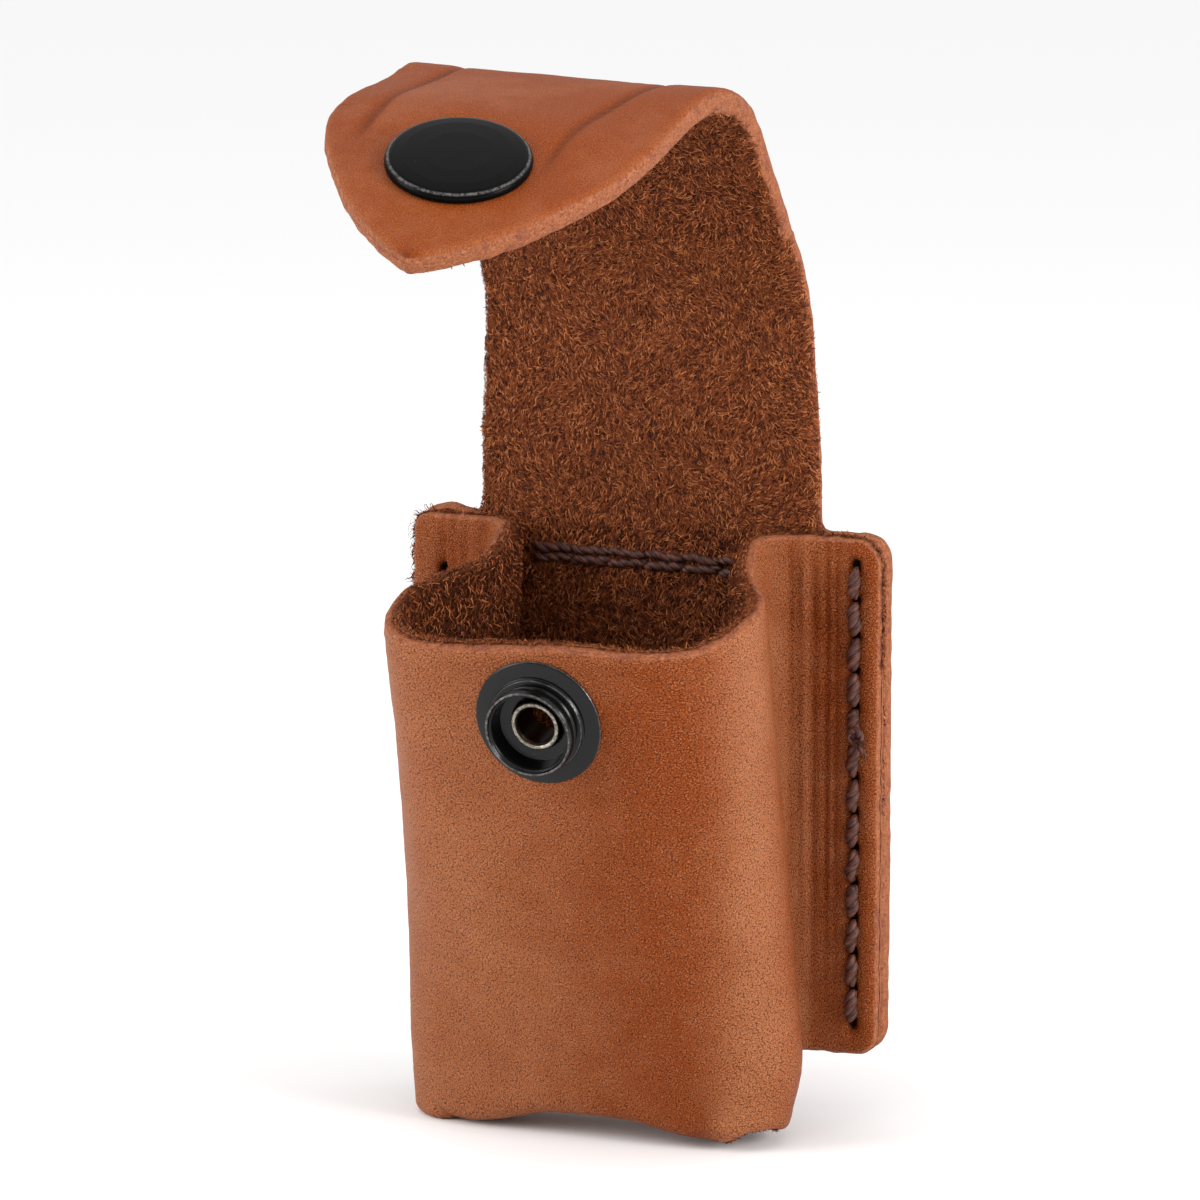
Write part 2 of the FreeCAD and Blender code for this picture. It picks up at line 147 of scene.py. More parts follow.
def to_row(points):
    """Points in the pouch's own mm axes as metres in the row frame."""
    return (np.asarray(points, float) + np.array([0.0, SEAM_Y, LIFT])) * MM


def smooth(x):
    """Smooth step from 0 to 1."""
    x = np.clip(x, 0.0, 1.0)
    return x * x * (3.0 - 2.0 * x)


def bump(x, width):
    """Soft ridge profile, 1 at x = 0."""
    return np.exp(-(x / width) ** 2)


def unit(vectors):
    return vectors / np.maximum(np.linalg.norm(vectors, axis=-1, keepdims=True), 1e-12)


def waves(points, wavelength, seed):
    """Soft irregular waves over 2D or 3D points, about -1 to 1."""
    rng = np.random.default_rng(seed)
    total = np.zeros(len(points))
    for _ in range(7):
        direction = unit(rng.normal(size=points.shape[1]))
        k = 2 * math.pi / (wavelength * rng.uniform(0.7, 1.4))
        total += np.sin(points @ direction * k + rng.uniform(0, 2 * math.pi))
    return total / 3.2


def smooth_through(points, where):
    """Positions on the natural cubic spline through the points; where runs 0 to 1 along its chords."""
    pts = np.array(points, float)
    knots = np.concatenate([[0.0], np.cumsum(np.linalg.norm(np.diff(pts, axis=0), axis=1))])
    knots /= knots[-1]
    h = np.diff(knots)
    count = len(pts)
    matrix = np.eye(count)
    right = np.zeros_like(pts)
    for i in range(1, count - 1):
        matrix[i, i - 1:i + 2] = h[i - 1], 2 * (h[i - 1] + h[i]), h[i]
        right[i] = 6 * ((pts[i + 1] - pts[i]) / h[i] - (pts[i] - pts[i - 1]) / h[i - 1])
    bend = np.linalg.solve(matrix, right)
    k = np.clip(np.searchsorted(knots, where, side="right") - 1, 0, count - 2)
    step = h[k][:, None]
    before = (knots[k + 1] - where)[:, None]
    after = (where - knots[k])[:, None]
    return ((bend[k] * before ** 3 + bend[k + 1] * after ** 3) / (6 * step)
            + (pts[k] / step - bend[k] * step / 6) * before
            + (pts[k + 1] / step - bend[k + 1] * step / 6) * after)


def lengths_along(points):
    """Length of the path up to each of its points."""
    return np.concatenate([[0.0], np.cumsum(np.linalg.norm(np.diff(points, axis=0), axis=1))])


class Line:
    """Smooth (y, z) line read by its length in mm."""

    def __init__(self, points):
        self.points = smooth_through(points, np.linspace(0, 1, 3001))
        self.lengths = lengths_along(self.points)

    def at(self, s):
        inside_line = np.clip(s, 0, self.lengths[-1])
        y = np.interp(inside_line, self.lengths, self.points[:, 0])
        z = np.interp(inside_line, self.lengths, self.points[:, 1])
        over = (s - inside_line)[:, None]
        end_dir = unit(self.points[-1] - self.points[-2])
        start_dir = unit(self.points[1] - self.points[0])
        return np.stack([y, z], 1) + np.where(over > 0, over * end_dir, over * start_dir)

    def length_to(self, point):
        return self.lengths[np.argmin(np.linalg.norm(self.points - np.array(point), axis=1))]


# ------------------------------------------------------------------ flat outlines

def resample(points, spacing):
    """The same closed outline with even spacing."""
    pts = np.vstack([points, points[:1]])
    lengths = lengths_along(pts)
    count = max(int(round(lengths[-1] / spacing)), 8)
    where = np.linspace(0, lengths[-1], count + 1)[:-1]
    return np.stack([np.interp(where, lengths, pts[:, i]) for i in (0, 1)], 1)


def wobbled(loop, amount, seed):
    """A cut edge that wanders a little off its drawn line."""
    return loop + amount * np.stack([waves(loop, 3.0, seed), waves(loop, 2.3, seed + 1)], 1)


def arc(centre, radius, start, end):
    """Points of a corner arc, angles in degrees."""
    angles = np.radians(np.linspace(start, end, 9))
    return [(centre[0] + radius * math.cos(a), centre[1] + radius * math.sin(a)) for a in angles]


def inside(points, loop):
    """Which points lie inside the closed loop."""
    hit = np.zeros(len(points), bool)
    x, y = points[:, 0], points[:, 1]
    for (x0, y0), (x1, y1) in zip(loop, np.roll(loop, -1, axis=0)):
        crosses = (y0 > y) != (y1 > y)
        hit ^= crosses & (x < (x1 - x0) * (y - y0) / (y1 - y0 + 1e-12) + x0)
    return hit


def distance_to(points, loops):
    """Distance from each point to the nearest of the closed loops."""
    best = np.full(len(points), BIG)
    for loop in loops:
        for a, b in zip(loop, np.roll(loop, -1, axis=0)):
            ab = b - a
            t = np.clip(((points - a) @ ab) / (ab @ ab + 1e-12), 0, 1)
            gap = points - a - t[:, None] * ab
            best = np.minimum(best, (gap ** 2).sum(1))
    return np.sqrt(best)


def inward_normals(loop, is_hole):
    """Unit normals of a closed loop that point into the leather."""
    tangent = unit(np.roll(loop, -1, axis=0) - np.roll(loop, 1, axis=0))
    normal = np.stack([-tangent[:, 1], tangent[:, 0]], 1)
    after = np.roll(loop, -1, axis=0)
    area = (loop[:, 0] * after[:, 1] - after[:, 0] * loop[:, 1]).sum()
    return normal * (1 if (area > 0) != is_hole else -1)


# ------------------------------------------------------------------ sheets of leather

class Sheet:
    """Mesh of a sheet of leather in mm: a flat cut laid on a surface, with rounded edges."""

    RINGS = (0.1, 0.28, 0.55, 0.95, 1.5)
    BAND_ROWS = (0.5, 0.0, -0.5)

    def __init__(self, surface, outline, thickness, edge_radius, spacing, relief,
                 tone_and_painted_light, grain=1.0, raw=None, holes=(), splits=(), fine_points=()):
        loops = [outline] + list(holes)
        flat, triangles, loop_ids = self.triangulate(loops, spacing, splits, fine_points)
        depth = distance_to(flat, loops)
        depth[np.concatenate(loop_ids)] = 0.0
        half = thickness / 2
        inner = np.clip(depth, 0, edge_radius)
        rise = half - edge_radius + np.sqrt(np.maximum(edge_radius ** 2 - (edge_radius - inner) ** 2, 0))
        middle, normal = self.lay(surface, flat)

        # tone holds the leather's own tone together with painted light and painted shade
        tone = tone_and_painted_light(flat, middle, depth)
        parts = []
        for sign in (1, -1):
            lift = rise + relief(flat, middle, sign)
            parts.append((middle + normal * (sign * lift)[:, None], np.column_stack([flat, sign * rise]),
                          flat, sign * rise / half, depth, tone))
        count = len(flat)
        faces = [triangles, triangles[:, ::-1] + count]
        flesh_start = len(triangles)
        flesh_end = 2 * len(triangles)

        total = 2 * count
        for number, (loop, ids) in enumerate(zip(loops, loop_ids)):
            inward = inward_normals(flat[ids], number > 0)
            step = 0.05
            outward_3d = unit(middle[ids] - surface(flat[ids] + inward * step))
            rows = [ids]
            flat_edge = half - edge_radius
            for q in self.BAND_ROWS:
                swell = 0.10 * (1 - q * q) + 0.03 * waves(flat[ids], 2.1, 11 + number + int(q * 4))
                level = np.full(len(ids), q * flat_edge)
                parts.append((middle[ids] + normal[ids] * (q * flat_edge) + outward_3d * swell[:, None],
                              np.column_stack([flat[ids] - inward * 0.6 * (1 - abs(q)), level]),
                              flat[ids], level / half, np.zeros(len(ids)), tone[ids]))
                rows.append(np.arange(total, total + len(ids)))
                total += len(ids)
            rows.append(ids + count)
            for upper, lower in zip(rows, rows[1:]):
                a, b = upper, np.roll(upper, -1)
                c, d = np.roll(lower, -1), lower
                faces.append(np.stack([a, d, c], 1))
                faces.append(np.stack([a, c, b], 1))
        self.points, self.rest, self.flat, self.side, self.edge, self.tone_and_painted_light = (
            np.concatenate(arrays) for arrays in zip(*parts))
        if raw:
            self.side -= raw(self.flat) * (1 - np.abs(self.side))
        self.grain = np.full(len(self.side), grain)
        self.faces = np.vstack(faces)
        self.flesh_faces = self.faces[flesh_start:flesh_end]
        self.band_faces = self.faces[flesh_end:]
        self.normals = vertex_normals(self.points, self.faces)

    def triangulate(self, loops, spacing, splits, fine_points):
        """Mesh points and faces of the flat cut, finer near its edges; splits stay edges of the mesh."""
        points = list(loops)
        loop_ids = []
        total = 0
        edges = []
        for loop in loops:
            ids = np.arange(total, total + len(loop))
            loop_ids.append(ids)
            edges += list(zip(ids.tolist(), np.roll(ids, -1).tolist()))
            total += len(loop)
        for level in splits:
            on_line = np.where(np.abs(loops[0][:, 1] - level) < 1e-9)[0]
            ends = sorted(on_line, key=lambda i: loops[0][i, 0])
            x0, x1 = loops[0][ends[0], 0], loops[0][ends[-1], 0]
            xs = np.linspace(x0, x1, int((x1 - x0) / spacing) + 1)[1:-1]
            chain = [int(ends[0])] + list(range(total, total + len(xs))) + [int(ends[-1])]
            points.append(np.column_stack([xs, np.full(len(xs), level)]))
            edges += list(zip(chain, chain[1:]))
            total += len(xs)
        for number, loop in enumerate(loops):
            inward = inward_normals(loop, number > 0)
            for gap in self.RINGS:
                ring = loop + inward * gap
                keep = distance_to(ring, loops) > gap * 0.93
                keep &= clear_of(ring, splits)
                points.append(ring[keep])
        low, high = loops[0].min(0), loops[0].max(0)
        xs = np.arange(low[0], high[0] + spacing, spacing)
        ys = np.arange(low[1], high[1] + spacing, spacing * 0.866)
        grid = np.stack(np.meshgrid(xs, ys), -1)
        grid[1::2, :, 0] += spacing / 2
        grid = grid.reshape(-1, 2) + random.uniform(-0.03, 0.03, (grid.size // 2, 2))
        if len(fine_points):
            grid = np.vstack([grid, fine_points])
        grid = grid[self.within(grid, loops)]
        keep = (distance_to(grid, loops) > self.RINGS[-1] + 0.3 * spacing) & clear_of(grid, splits)
        points.append(grid[keep])
        flat = np.vstack(points)
        result = delaunay_2d_cdt([Vector(p) for p in flat], edges, [], 0, 1e-7)
        out_points = np.array([tuple(p) for p in result[0]])
        index_of = np.zeros(len(flat), int)
        for new, olds in enumerate(result[3]):
            for old in olds:
                index_of[old] = new
        triangles = np.array(result[2])
        keep = self.within(out_points[triangles].mean(1), loops)
        return out_points, triangles[keep], [index_of[ids] for ids in loop_ids]

    @staticmethod
    def within(points, loops):
        """Which points lie inside the outline and outside its holes."""
        keep = inside(points, loops[0])
        for hole in loops[1:]:
            keep &= ~inside(points, hole)
        return keep

    @staticmethod
    def lay(surface, flat):
        """Mid-surface points and their normals towards the grain side."""
        step = 0.05
        du = surface(flat + np.array([step, 0])) - surface(flat - np.array([step, 0]))
        dv = surface(flat + np.array([0, step])) - surface(flat - np.array([0, step]))
        return surface(flat), unit(np.cross(du, dv))


def clear_of(points, splits):
    """Which points aren't too close to a split."""
    keep = np.ones(len(points), bool)
    for level in splits:
        keep &= np.abs(points[:, 1] - level) > 0.12
    return keep


def vertex_normals(points, faces):
    corner = points[faces]
    face_normal = np.cross(corner[:, 1] - corner[:, 0], corner[:, 2] - corner[:, 0])
    total = np.zeros_like(points)
    for k in range(3):
        np.add.at(total, faces[:, k], face_normal)
    return unit(total)


def new_object(name, points, faces, material, attributes, normals=None):
    """Mesh object from arrays; points in mm, faces all triangles."""
    mesh = bpy.data.meshes.new(name)
    mesh.vertices.add(len(points))
    mesh.vertices.foreach_set("co", to_row(points).astype(np.float32).ravel())
    mesh.loops.add(faces.size)
    mesh.loops.foreach_set("vertex_index", faces.astype(np.int32).ravel())
    mesh.polygons.add(len(faces))
    mesh.polygons.foreach_set("loop_start", np.arange(0, faces.size, 3, dtype=np.int32))
    mesh.update(calc_edges=True)
    mesh.polygons.foreach_set("use_smooth", np.ones(len(faces), bool))
    for key, values in attributes.items():
        kind = "FLOAT_VECTOR" if values.ndim == 2 else "FLOAT"
        field = "vector" if values.ndim == 2 else "value"
        attribute = mesh.attributes.new(key, kind, "POINT")
        attribute.data.foreach_set(field, values.astype(np.float32).ravel())
    mesh.validate()
    if normals is not None:
        mesh.normals_split_custom_set_from_vertices(normals.tolist())
    mesh.materials.append(material)
    obj = bpy.data.objects.new(name, mesh)
    bpy.context.scene.collection.objects.link(obj)
    return obj


def sheet_object(name, sheet, material, low=-BIG, high=BIG):
    """The part of a sheet between two lengths along it, as an object."""
    middle = sheet.flat[sheet.faces][:, :, 1].mean(1)
    faces = sheet.faces[(middle > low) & (middle < high)]
    used = np.unique(faces)
    index_of = np.full(len(sheet.points), -1)
    index_of[used] = np.arange(len(used))
    attributes = {key: getattr(sheet, key)[used] for key in ("rest", "side", "tone_and_painted_light", "grain")}
    return new_object(name, sheet.points[used], index_of[faces], material, attributes, sheet.normals[used])


# ------------------------------------------------------------------ loose fibres

def fibres(name, base, normal, tangent, material, length, width, lift):
    """Short curled ribbons that stand on the given points."""
    count = len(base)
    steps = 4
    curl = 1.1
    across = np.cross(normal, tangent)
    heading = random.uniform(-curl, curl, count)
    size = random.uniform(length[0], length[1], count)
    thick = random.uniform(width[0], width[1], count) / 2
    height = random.uniform(lift[0], lift[1], count)
    points = np.zeros((count, steps, 2, 3))
    place = base.copy()
    for k in range(steps):
        t = k / (steps - 1)
        angle = heading * t
        forward = tangent * np.cos(angle)[:, None] + across * np.sin(angle)[:, None]
        aside = np.cross(normal, forward)
        if k:
            place = place + forward * (size / (steps - 1))[:, None]
        raised = place + normal * (height * math.sin(math.pi * (0.12 + 0.70 * t)))[:, None]
        half = (thick * (1.0 - 0.65 * t))[:, None]
        points[:, k, 0] = raised - aside * half
        points[:, k, 1] = raised + aside * half
    index = np.arange(count * steps * 2).reshape(count, steps, 2)
    faces = []
    for k in range(steps - 1):
        a, b = index[:, k, 0], index[:, k, 1]
        c, d = index[:, k + 1, 1], index[:, k + 1, 0]
        faces += [np.stack([a, b, c], 1), np.stack([a, c, d], 1)]
    tone = random.uniform(0, 1, count)
    return new_object(name, points.reshape(-1, 3), np.vstack(faces), material,
                      {"tone": np.repeat(tone, steps * 2), "rest": points.reshape(-1, 3)})


def scatter(sheet, faces, count, across, along, margin=0.0):
    """Random points on faces of a sheet, with normal and direction.

    The points keep within the two limits each way and at least a margin from the sheet's edge."""
    corner = sheet.points[faces]
    u, v = sheet.flat[faces].mean(1).T
    chosen = (u > across[0]) & (u < across[1]) & (v > along[0]) & (v < along[1])
    chosen &= sheet.edge[faces].mean(1) >= margin
    faces, corner = faces[chosen], corner[chosen]
    area = np.linalg.norm(np.cross(corner[:, 1] - corner[:, 0], corner[:, 2] - corner[:, 0]), axis=1)
    pick = random.choice(len(faces), count, p=area / area.sum())
    weights = random.dirichlet((1, 1, 1), count)
    base = (corner[pick] * weights[:, :, None]).sum(1)
    normal = unit((sheet.normals[faces[pick]] * weights[:, :, None]).sum(1))
    flat = (sheet.flat[faces[pick]] * weights[:, :, None]).sum(1)
    heading = 1.1 * waves(flat, 14.0, 41) + 0.5 * waves(flat, 4.0, 42) + random.normal(0, 0.5, count)
    across = unit(np.cross(np.array([0.0, 0.3, 1.0]), normal))
    upward = np.cross(normal, across)
    tangent = upward * np.cos(heading)[:, None] + across * np.sin(heading)[:, None]
    tangent *= random.choice([-1.0, 1.0], (count, 1), p=[0.7, 0.3])
    return base, normal, tangent


# ------------------------------------------------------------------ front shell

def full_section(half):
    """Whole plan section from left to right."""
    return [(-x, y) for x, y in half] + [(x, y) for x, y in reversed(half[:-1])]


SECTION_WHERE = np.linspace(0, 1, 1601)
LOW_SECTION = smooth_through(full_section(SHELL_LOW), SECTION_WHERE)
HIGH_SECTION = smooth_through(full_section(SHELL_HIGH), SECTION_WHERE)
SHELL_U = lengths_along((LOW_SECTION + HIGH_SECTION) / 2)
SHELL_LENGTH = SHELL_U[-1]


def low_section(u):
    """(x, y) of the bottom section at length u round the shell."""
    return [np.interp(u, SHELL_U, LOW_SECTION[:, i]) for i in (0, 1)]


def shell_plan(u, z):
    """(x, y) of the shell's mid-surface at length u round it and height z."""
    share = (z - BODY_BOTTOM) / SECTION_SPAN
    low = low_section(u)
    high = [np.interp(u, SHELL_U, HIGH_SECTION[:, i]) for i in (0, 1)]
    return [a + (b - a) * share for a, b in zip(low, high)]


def lip_curl(u):
    """1 where the foot is turned under, 0 at the corners and sides."""
    x, y = low_section(u)
    return smooth((LIP_HALF - np.abs(x)) / LIP_FADE) * (y < FOOT_FRONT_Y)


def lip_start(u):
    """Height where the lip's bend begins."""
    x, _ = low_section(u)
    arch = SCOOP_HEIGHT * smooth((SCOOP_HALF - np.abs(x)) / SCOOP_FALL)
    return BODY_BOTTOM + arch + RIGHT_LIFT * smooth((x - 8.0) / 6.0) + T / 2 + LIP_BEND


def shell_surface(flat):
    """flat is (length round the shell, height); below lip_start the leather turns under."""
    u, v = flat[:, 0], flat[:, 1]
    past_end = u - np.clip(u, 0, SHELL_LENGTH)
    start = lip_start(u)
    z = np.maximum(v, start)
    x, y = shell_plan(u, z)
    x_up, y_up = shell_plan(u, z + 1.0)
    lean = np.arctan(y - y_up)
    turn = (math.pi / 2 - lean) * lip_curl(u)
    beyond = np.maximum(start - v, 0)
    bend = np.minimum(beyond / LIP_BEND, turn)
    straight = beyond - bend * LIP_BEND
    back = LIP_BEND * (np.cos(lean) - np.cos(lean + bend)) + straight * np.sin(lean + turn)
    down = LIP_BEND * (np.sin(lean + bend) - np.sin(lean)) + straight * np.cos(lean + turn)
    return handled(u, np.stack([x - (x_up - x) * down + past_end, y + back, z - down], 1))


def handled(u, points):
    """The shell after use: the foot's corners pressed in, the right one more, and the left side swollen."""
    corner = smooth((-low_section(u)[1] - 7.0) / 3.0) * smooth((np.abs(points[:, 0]) - 13.0) / 5.0)
    pull = corner * smooth((9.5 - points[:, 2]) / 11.0)
    points[:, 0] -= np.sign(points[:, 0]) * pull * np.where(points[:, 0] > 0, 2.2, 0.4)
    points[:, 1] += np.where(points[:, 0] > 0, -0.8, 0.5) * pull
    bulge = smooth((-points[:, 0] - 10.0) / 6.0) * smooth((-points[:, 1] - 12.0) / 6.0)
    points[:, 0] -= 0.6 * bulge * smooth((points[:, 2] - 18.0) / 22.0)
    return points


def rim_height(u):
    """Height of the mouth's rim at length u round the shell."""
    z = np.full(len(u), 60.0)
    for _ in range(12):
        x, y = shell_plan(u, z)
        z = np.interp(y, [a for a, _ in RIM], [h for _, h in RIM])
    return z + RIM_RISE * bump(x - 3.0, 10.0) * smooth((-y - 27.0) / 4.0)


def foot_height(u):
    """Height of the lower cut edge in the flat sheet."""
    z = np.interp(shell_plan(u, np.full(len(u), 3.0))[1], [y for y, _ in FOOT], [h for _, h in FOOT])
    along = u - SHELL_LENGTH / 2
    lift = 0.1 * smooth((along - 8.0) / 6.0) + 2.2 * smooth((along - 19.0) / 3.8)
    lift *= smooth((31.0 - along) / 6.0)
    share = smooth((lip_curl(u) - 0.4) / 0.6)
    return (z + lift) * (1 - share) + (lip_start(u) - LIP_LENGTH) * share


def shell_outline():
    """The cut shape of the shell."""
    r_top, r_right, r_low = 1.6, 3.0, 2.6
    middle_x = (PANEL_LEFT + PANEL_RIGHT) / 2
    start = middle_x - PANEL_LEFT
    end = SHELL_LENGTH + PANEL_RIGHT - middle_x
    top = np.linspace(start + r_top, end - r_right, 400)
    low = np.linspace(end - r_low, start + r_low, 500)
    points = [(start, FLANGE_BOTTOM + r_low), (start, FLANGE_TOP - r_top)]
    points += arc((start + r_top, FLANGE_TOP - r_top), r_top, 180, 90)
    points += list(zip(top, rim_height(top)))
    points += arc((end - r_right, FLANGE_TOP - r_right), r_right, 90, 0)
    points += arc((end - r_low, FLANGE_BOTTOM + r_low), r_low, 0, -90)
    points += list(zip(low, foot_height(low)))
    points += arc((start + r_low, FLANGE_BOTTOM + r_low), r_low, -90, -180)
    return wobbled(resample(points, EDGE_STEP), 0.06, 1)


def seam_heights(side):
    return SIDE_SEAM_BOTTOM + SEAMS[side][1] * np.arange(SIDE_STITCHES + 1)


def hole_pits(x, z):
    """Depth of the stitch holes of both side seams."""
    pits = np.zeros(len(x))
    for side, (seam_x, _) in SEAMS.items():
        for height in seam_heights(side):
            pits += bump(x - seam_x, 0.46) * bump(z - height, 0.70)
    return pits


def seam_channel(x):
    """Shallow groove that the thread has pressed along each side seam."""
    return sum(bump(x - seam_x, 0.62) for seam_x, _ in SEAMS.values())


def flange_grooves(side):
    """Sharp pressed lines along the flange."""
    return bump(side - 22.1, 0.26) + bump(side - 23.2, 0.24) + 0.8 * bump(side - 17.5, 0.32)


def flange_fade(z):
    """The pressed lines grow fainter towards the bottom."""
    return smooth((z - 8.0) / 26.0)


def shell_relief(flat, middle, sign):
    """Height of the shell's own relief over its smooth surface; sign is 1 on the grain side."""
    x, y, z = middle.T
    soft = 0.10 * waves(middle, 24.0, 3) + 0.03 * waves(middle, 6.0, 4)
    if sign < 0:
        return soft + 0.05 * waves(middle, 1.6, 5)
    on_flange = smooth((y + 4.5) / 2.0)
    side = np.abs(x)
    ridges = (0.30 * bump(side - 19.3, 0.55) - 0.30 * bump(side - 20.4, 0.4) + 0.15 * bump(side - 22.65, 0.25)
              - 0.34 * flange_grooves(side))
    ridges *= flange_fade(z) * (0.75 + 0.25 * waves(middle, 9.0, 6))
    channel = smooth((z - 9.5) / 1.0) * smooth((62.5 - z) / 1.0) * seam_channel(x)
    below_rim = rim_height(flat[:, 0]) - flat[:, 1]
    sway = 0.3 * waves(flat, 22.0, 8)
    pressed = bump(below_rim - 1.2 - sway, 0.30) + 0.7 * bump(below_rim - 2.6 - 1.6 * sway, 0.45)
    return (soft + on_flange * (ridges - 0.30 * channel - 0.75 * hole_pits(x, z))
            - 0.16 * pressed * (1 - on_flange) + 0.015 * waves(middle, 1.3, 9))


def shell_tone_and_painted_light(flat, middle, depth):
    """Tone with painted light: lit on the left and on the right bulge; painted shade in grooves, below 0 in
    the holes.
    """
    x, y, z = middle.T
    from_middle = flat[:, 0] - SHELL_LENGTH / 2
    on_front = smooth((-y - 9.0) / 5.0)
    below_rim = rim_height(flat[:, 0]) - flat[:, 1]
    # painted light: the front is lit on its left and has a painted highlight on the right bulge; right of the
    # middle it stays darker
    front = 0.78 * smooth((11.0 - from_middle) / 22.0) + bump(from_middle - 21.5, 4.5)
    # paler band along the rim: edge wear and painted highlight
    front += 0.22 * smooth((1.5 - below_rim) / 1.1)
    # the flange is darker past the fold at x 19.8 and again past x 25.9
    flange = 0.66 - 0.34 * smooth((x - 19.8) / 0.5) - 0.24 * smooth((x - 25.9) / 0.5)
    # random mottling, and painted shade in the flange's pressed lines
    flange += 0.12 * waves(middle, 7.0, 10) - 0.45 * flange_grooves(np.abs(x)) * flange_fade(z)
    # darker on the left side, and painted shade in the seam channels
    flange -= 0.30 * smooth((-x - 15.0) / 3.0) + 0.20 * seam_channel(x)
    # painted shade in the stitch holes, which go below 0
    return front * on_front + flange * (1 - on_front) - 3.0 * hole_pits(x, z) * (y > -4)


def shell_raw(flat):
    """Where the cut edge is as rough as the flesh side: round the mouth."""
    inner = smooth((flat[:, 0] - 2.0) / 1.0) * smooth((SHELL_LENGTH - 2.0 - flat[:, 0]) / 1.0)
    return 0.85 * inner * smooth((flat[:, 1] - 48.0) / 3.0)


def seam_fine_points(places):
    """Extra mesh points round the stitch holes; places gives each side's position across the sheet."""
    points = []
    for side, across in places.items():
        for height in seam_heights(side):
            for radius in (0.18, 0.42, 0.72):
                for k in range(8):
                    a = 2 * math.pi * (k + radius) / 8
                    points.append((across + radius * math.cos(a), height + radius * math.sin(a)))
    return np.array(points)


def ridge_fine_points():
    """Extra mesh points on the ridged part of the right flange."""
    u = np.arange(SHELL_LENGTH - 9.4, SHELL_LENGTH - 3.4, 0.3)
    v = np.arange(FLANGE_BOTTOM + 2.0, FLANGE_TOP - 2.0, 0.6)
    grid = np.stack(np.meshgrid(u, v), -1)
    grid[1::2, :, 0] += 0.15
    return grid.reshape(-1, 2)


def stud_hole(u_middle):
    """Hole for the eyelet, as cut in the flat sheet."""
    angles = np.linspace(0, 2 * math.pi, 36, endpoint=False)
    return np.stack([u_middle + HOLE_R * np.cos(angles),
                     STUD_POINT[2] + HOLE_SHIFT + HOLE_R * math.cos(FRONT_LEAN) * np.sin(angles)], 1)


def make_shell_sheet():
    places = {side: np.interp(x, HIGH_SECTION[:, 0], SHELL_U) for side, (x, _) in SEAMS.items()}
    fine = np.vstack([seam_fine_points(places), ridge_fine_points()])
    return Sheet(shell_surface, shell_outline(), T, 1.15, 0.62, shell_relief, shell_tone_and_painted_light, raw=shell_raw,
                 holes=[stud_hole(SHELL_LENGTH / 2)], fine_points=fine)


# ------------------------------------------------------------------ back panel and flap, one strip

STRIP = Line(STRIP_LINE)
S_SHOULDER = STRIP.length_to((1.4, FLANGE_TOP))
S_SPLIT_MIDDLE = STRIP.length_to(SPLIT_MIDDLE)
S_SPLIT_ROOF = STRIP.length_to(SPLIT_ROOF)
S_SNAP = STRIP.length_to(SNAP_MIDDLE)
S_TIP = STRIP.lengths[-1]
S_KNEE = STRIP.length_to((1.2, 74.0))
S_LEAN = STRIP.length_to((-0.6, 89.5))
S_ROOF = STRIP.length_to(ROOF_START)
S_ROLL_START = STRIP.length_to((0.2, 86.0))
ROLL_LENGTH = 28.0


def strip_half_width(s):
    """Half width of the flap at length s."""
    widths = [(S_SHOULDER, 19.8), (S_KNEE, 19.6), (S_LEAN, 18.7), (S_ROOF, 18.2)]
    widths += [(S_SNAP + v, w) for v, w in TIP_WIDTHS]
    return np.interp(s, [a for a, _ in widths], [b for _, b in widths])


def strip_sway(s):
    """How far the strip's own middle wanders to the right."""
    return np.interp(s, [S_KNEE, S_LEAN, S_ROOF, S_SNAP - 6.0, S_SNAP + 4.0, S_TIP],
                     [0, 0.25, 0.45, 0, 0.2, 0.8])


def twist_share(points):
    """How far each point takes part in the tongue's roll: 0 before the twist, 1 on the tongue."""
    along = (points[:, 1] - TWIST_POINT[0]) * TIP_DIR[0] + (points[:, 2] - TWIST_POINT[1]) * TIP_DIR[1]
    return smooth(1.0 + along / TWIST_LENGTH) * (points[:, 2] > 95.0) * (points[:, 1] < -20.0)


def rolled(points):
    """Points turned about the tongue's own length, as far as each takes part in the roll."""
    axis = np.array([0.0, TIP_DIR[0], TIP_DIR[1]])
    pivot = np.array([0.0, SNAP_MIDDLE[0], SNAP_MIDDLE[1]])
    angle = (-TIP_ROLL * twist_share(points))[:, None]
    p = points - pivot
    along = (p @ axis)[:, None] * axis
    return pivot + along + (p - along) * np.cos(angle) + np.cross(axis, p) * np.sin(angle)


def left_droop(x, s):
    """The left edge of the roof sags."""
    amount = np.interp(s, [S_ROOF + 6.5, S_ROOF + 15.0, S_ROOF + 24.0, S_SNAP, S_SNAP + 6.0],
                       [0.0, 1.7, 2.9, 1.3, 0.0])
    return amount * (np.maximum(-x - 4.0, 0.0) / 13.5) ** 1.5


def strip_surface(flat):
    """flat is (-x, length along the strip), so that the grain side faces the wearer."""
    yz = STRIP.at(flat[:, 1])
    centre = np.column_stack([np.zeros(len(yz)), yz])
    slope = unit(STRIP.at(flat[:, 1] + 0.5) - STRIP.at(flat[:, 1] - 0.5))
    roll = RIDGE_ROLL * smooth((flat[:, 1] - S_ROLL_START) / ROLL_LENGTH) * (1 - twist_share(centre))
    x = strip_sway(flat[:, 1]) - flat[:, 0]
    drop = -x * np.sin(roll) - left_droop(x, flat[:, 1])
    return rolled(centre + np.column_stack([x * np.cos(roll), -slope[:, 1] * -drop, slope[:, 0] * -drop]))


def left_trim(s):
    """How much narrower the left half of the roof is than the right."""
    return 0.3 * float(bump(s - S_ROOF - 20.0, 11.0))


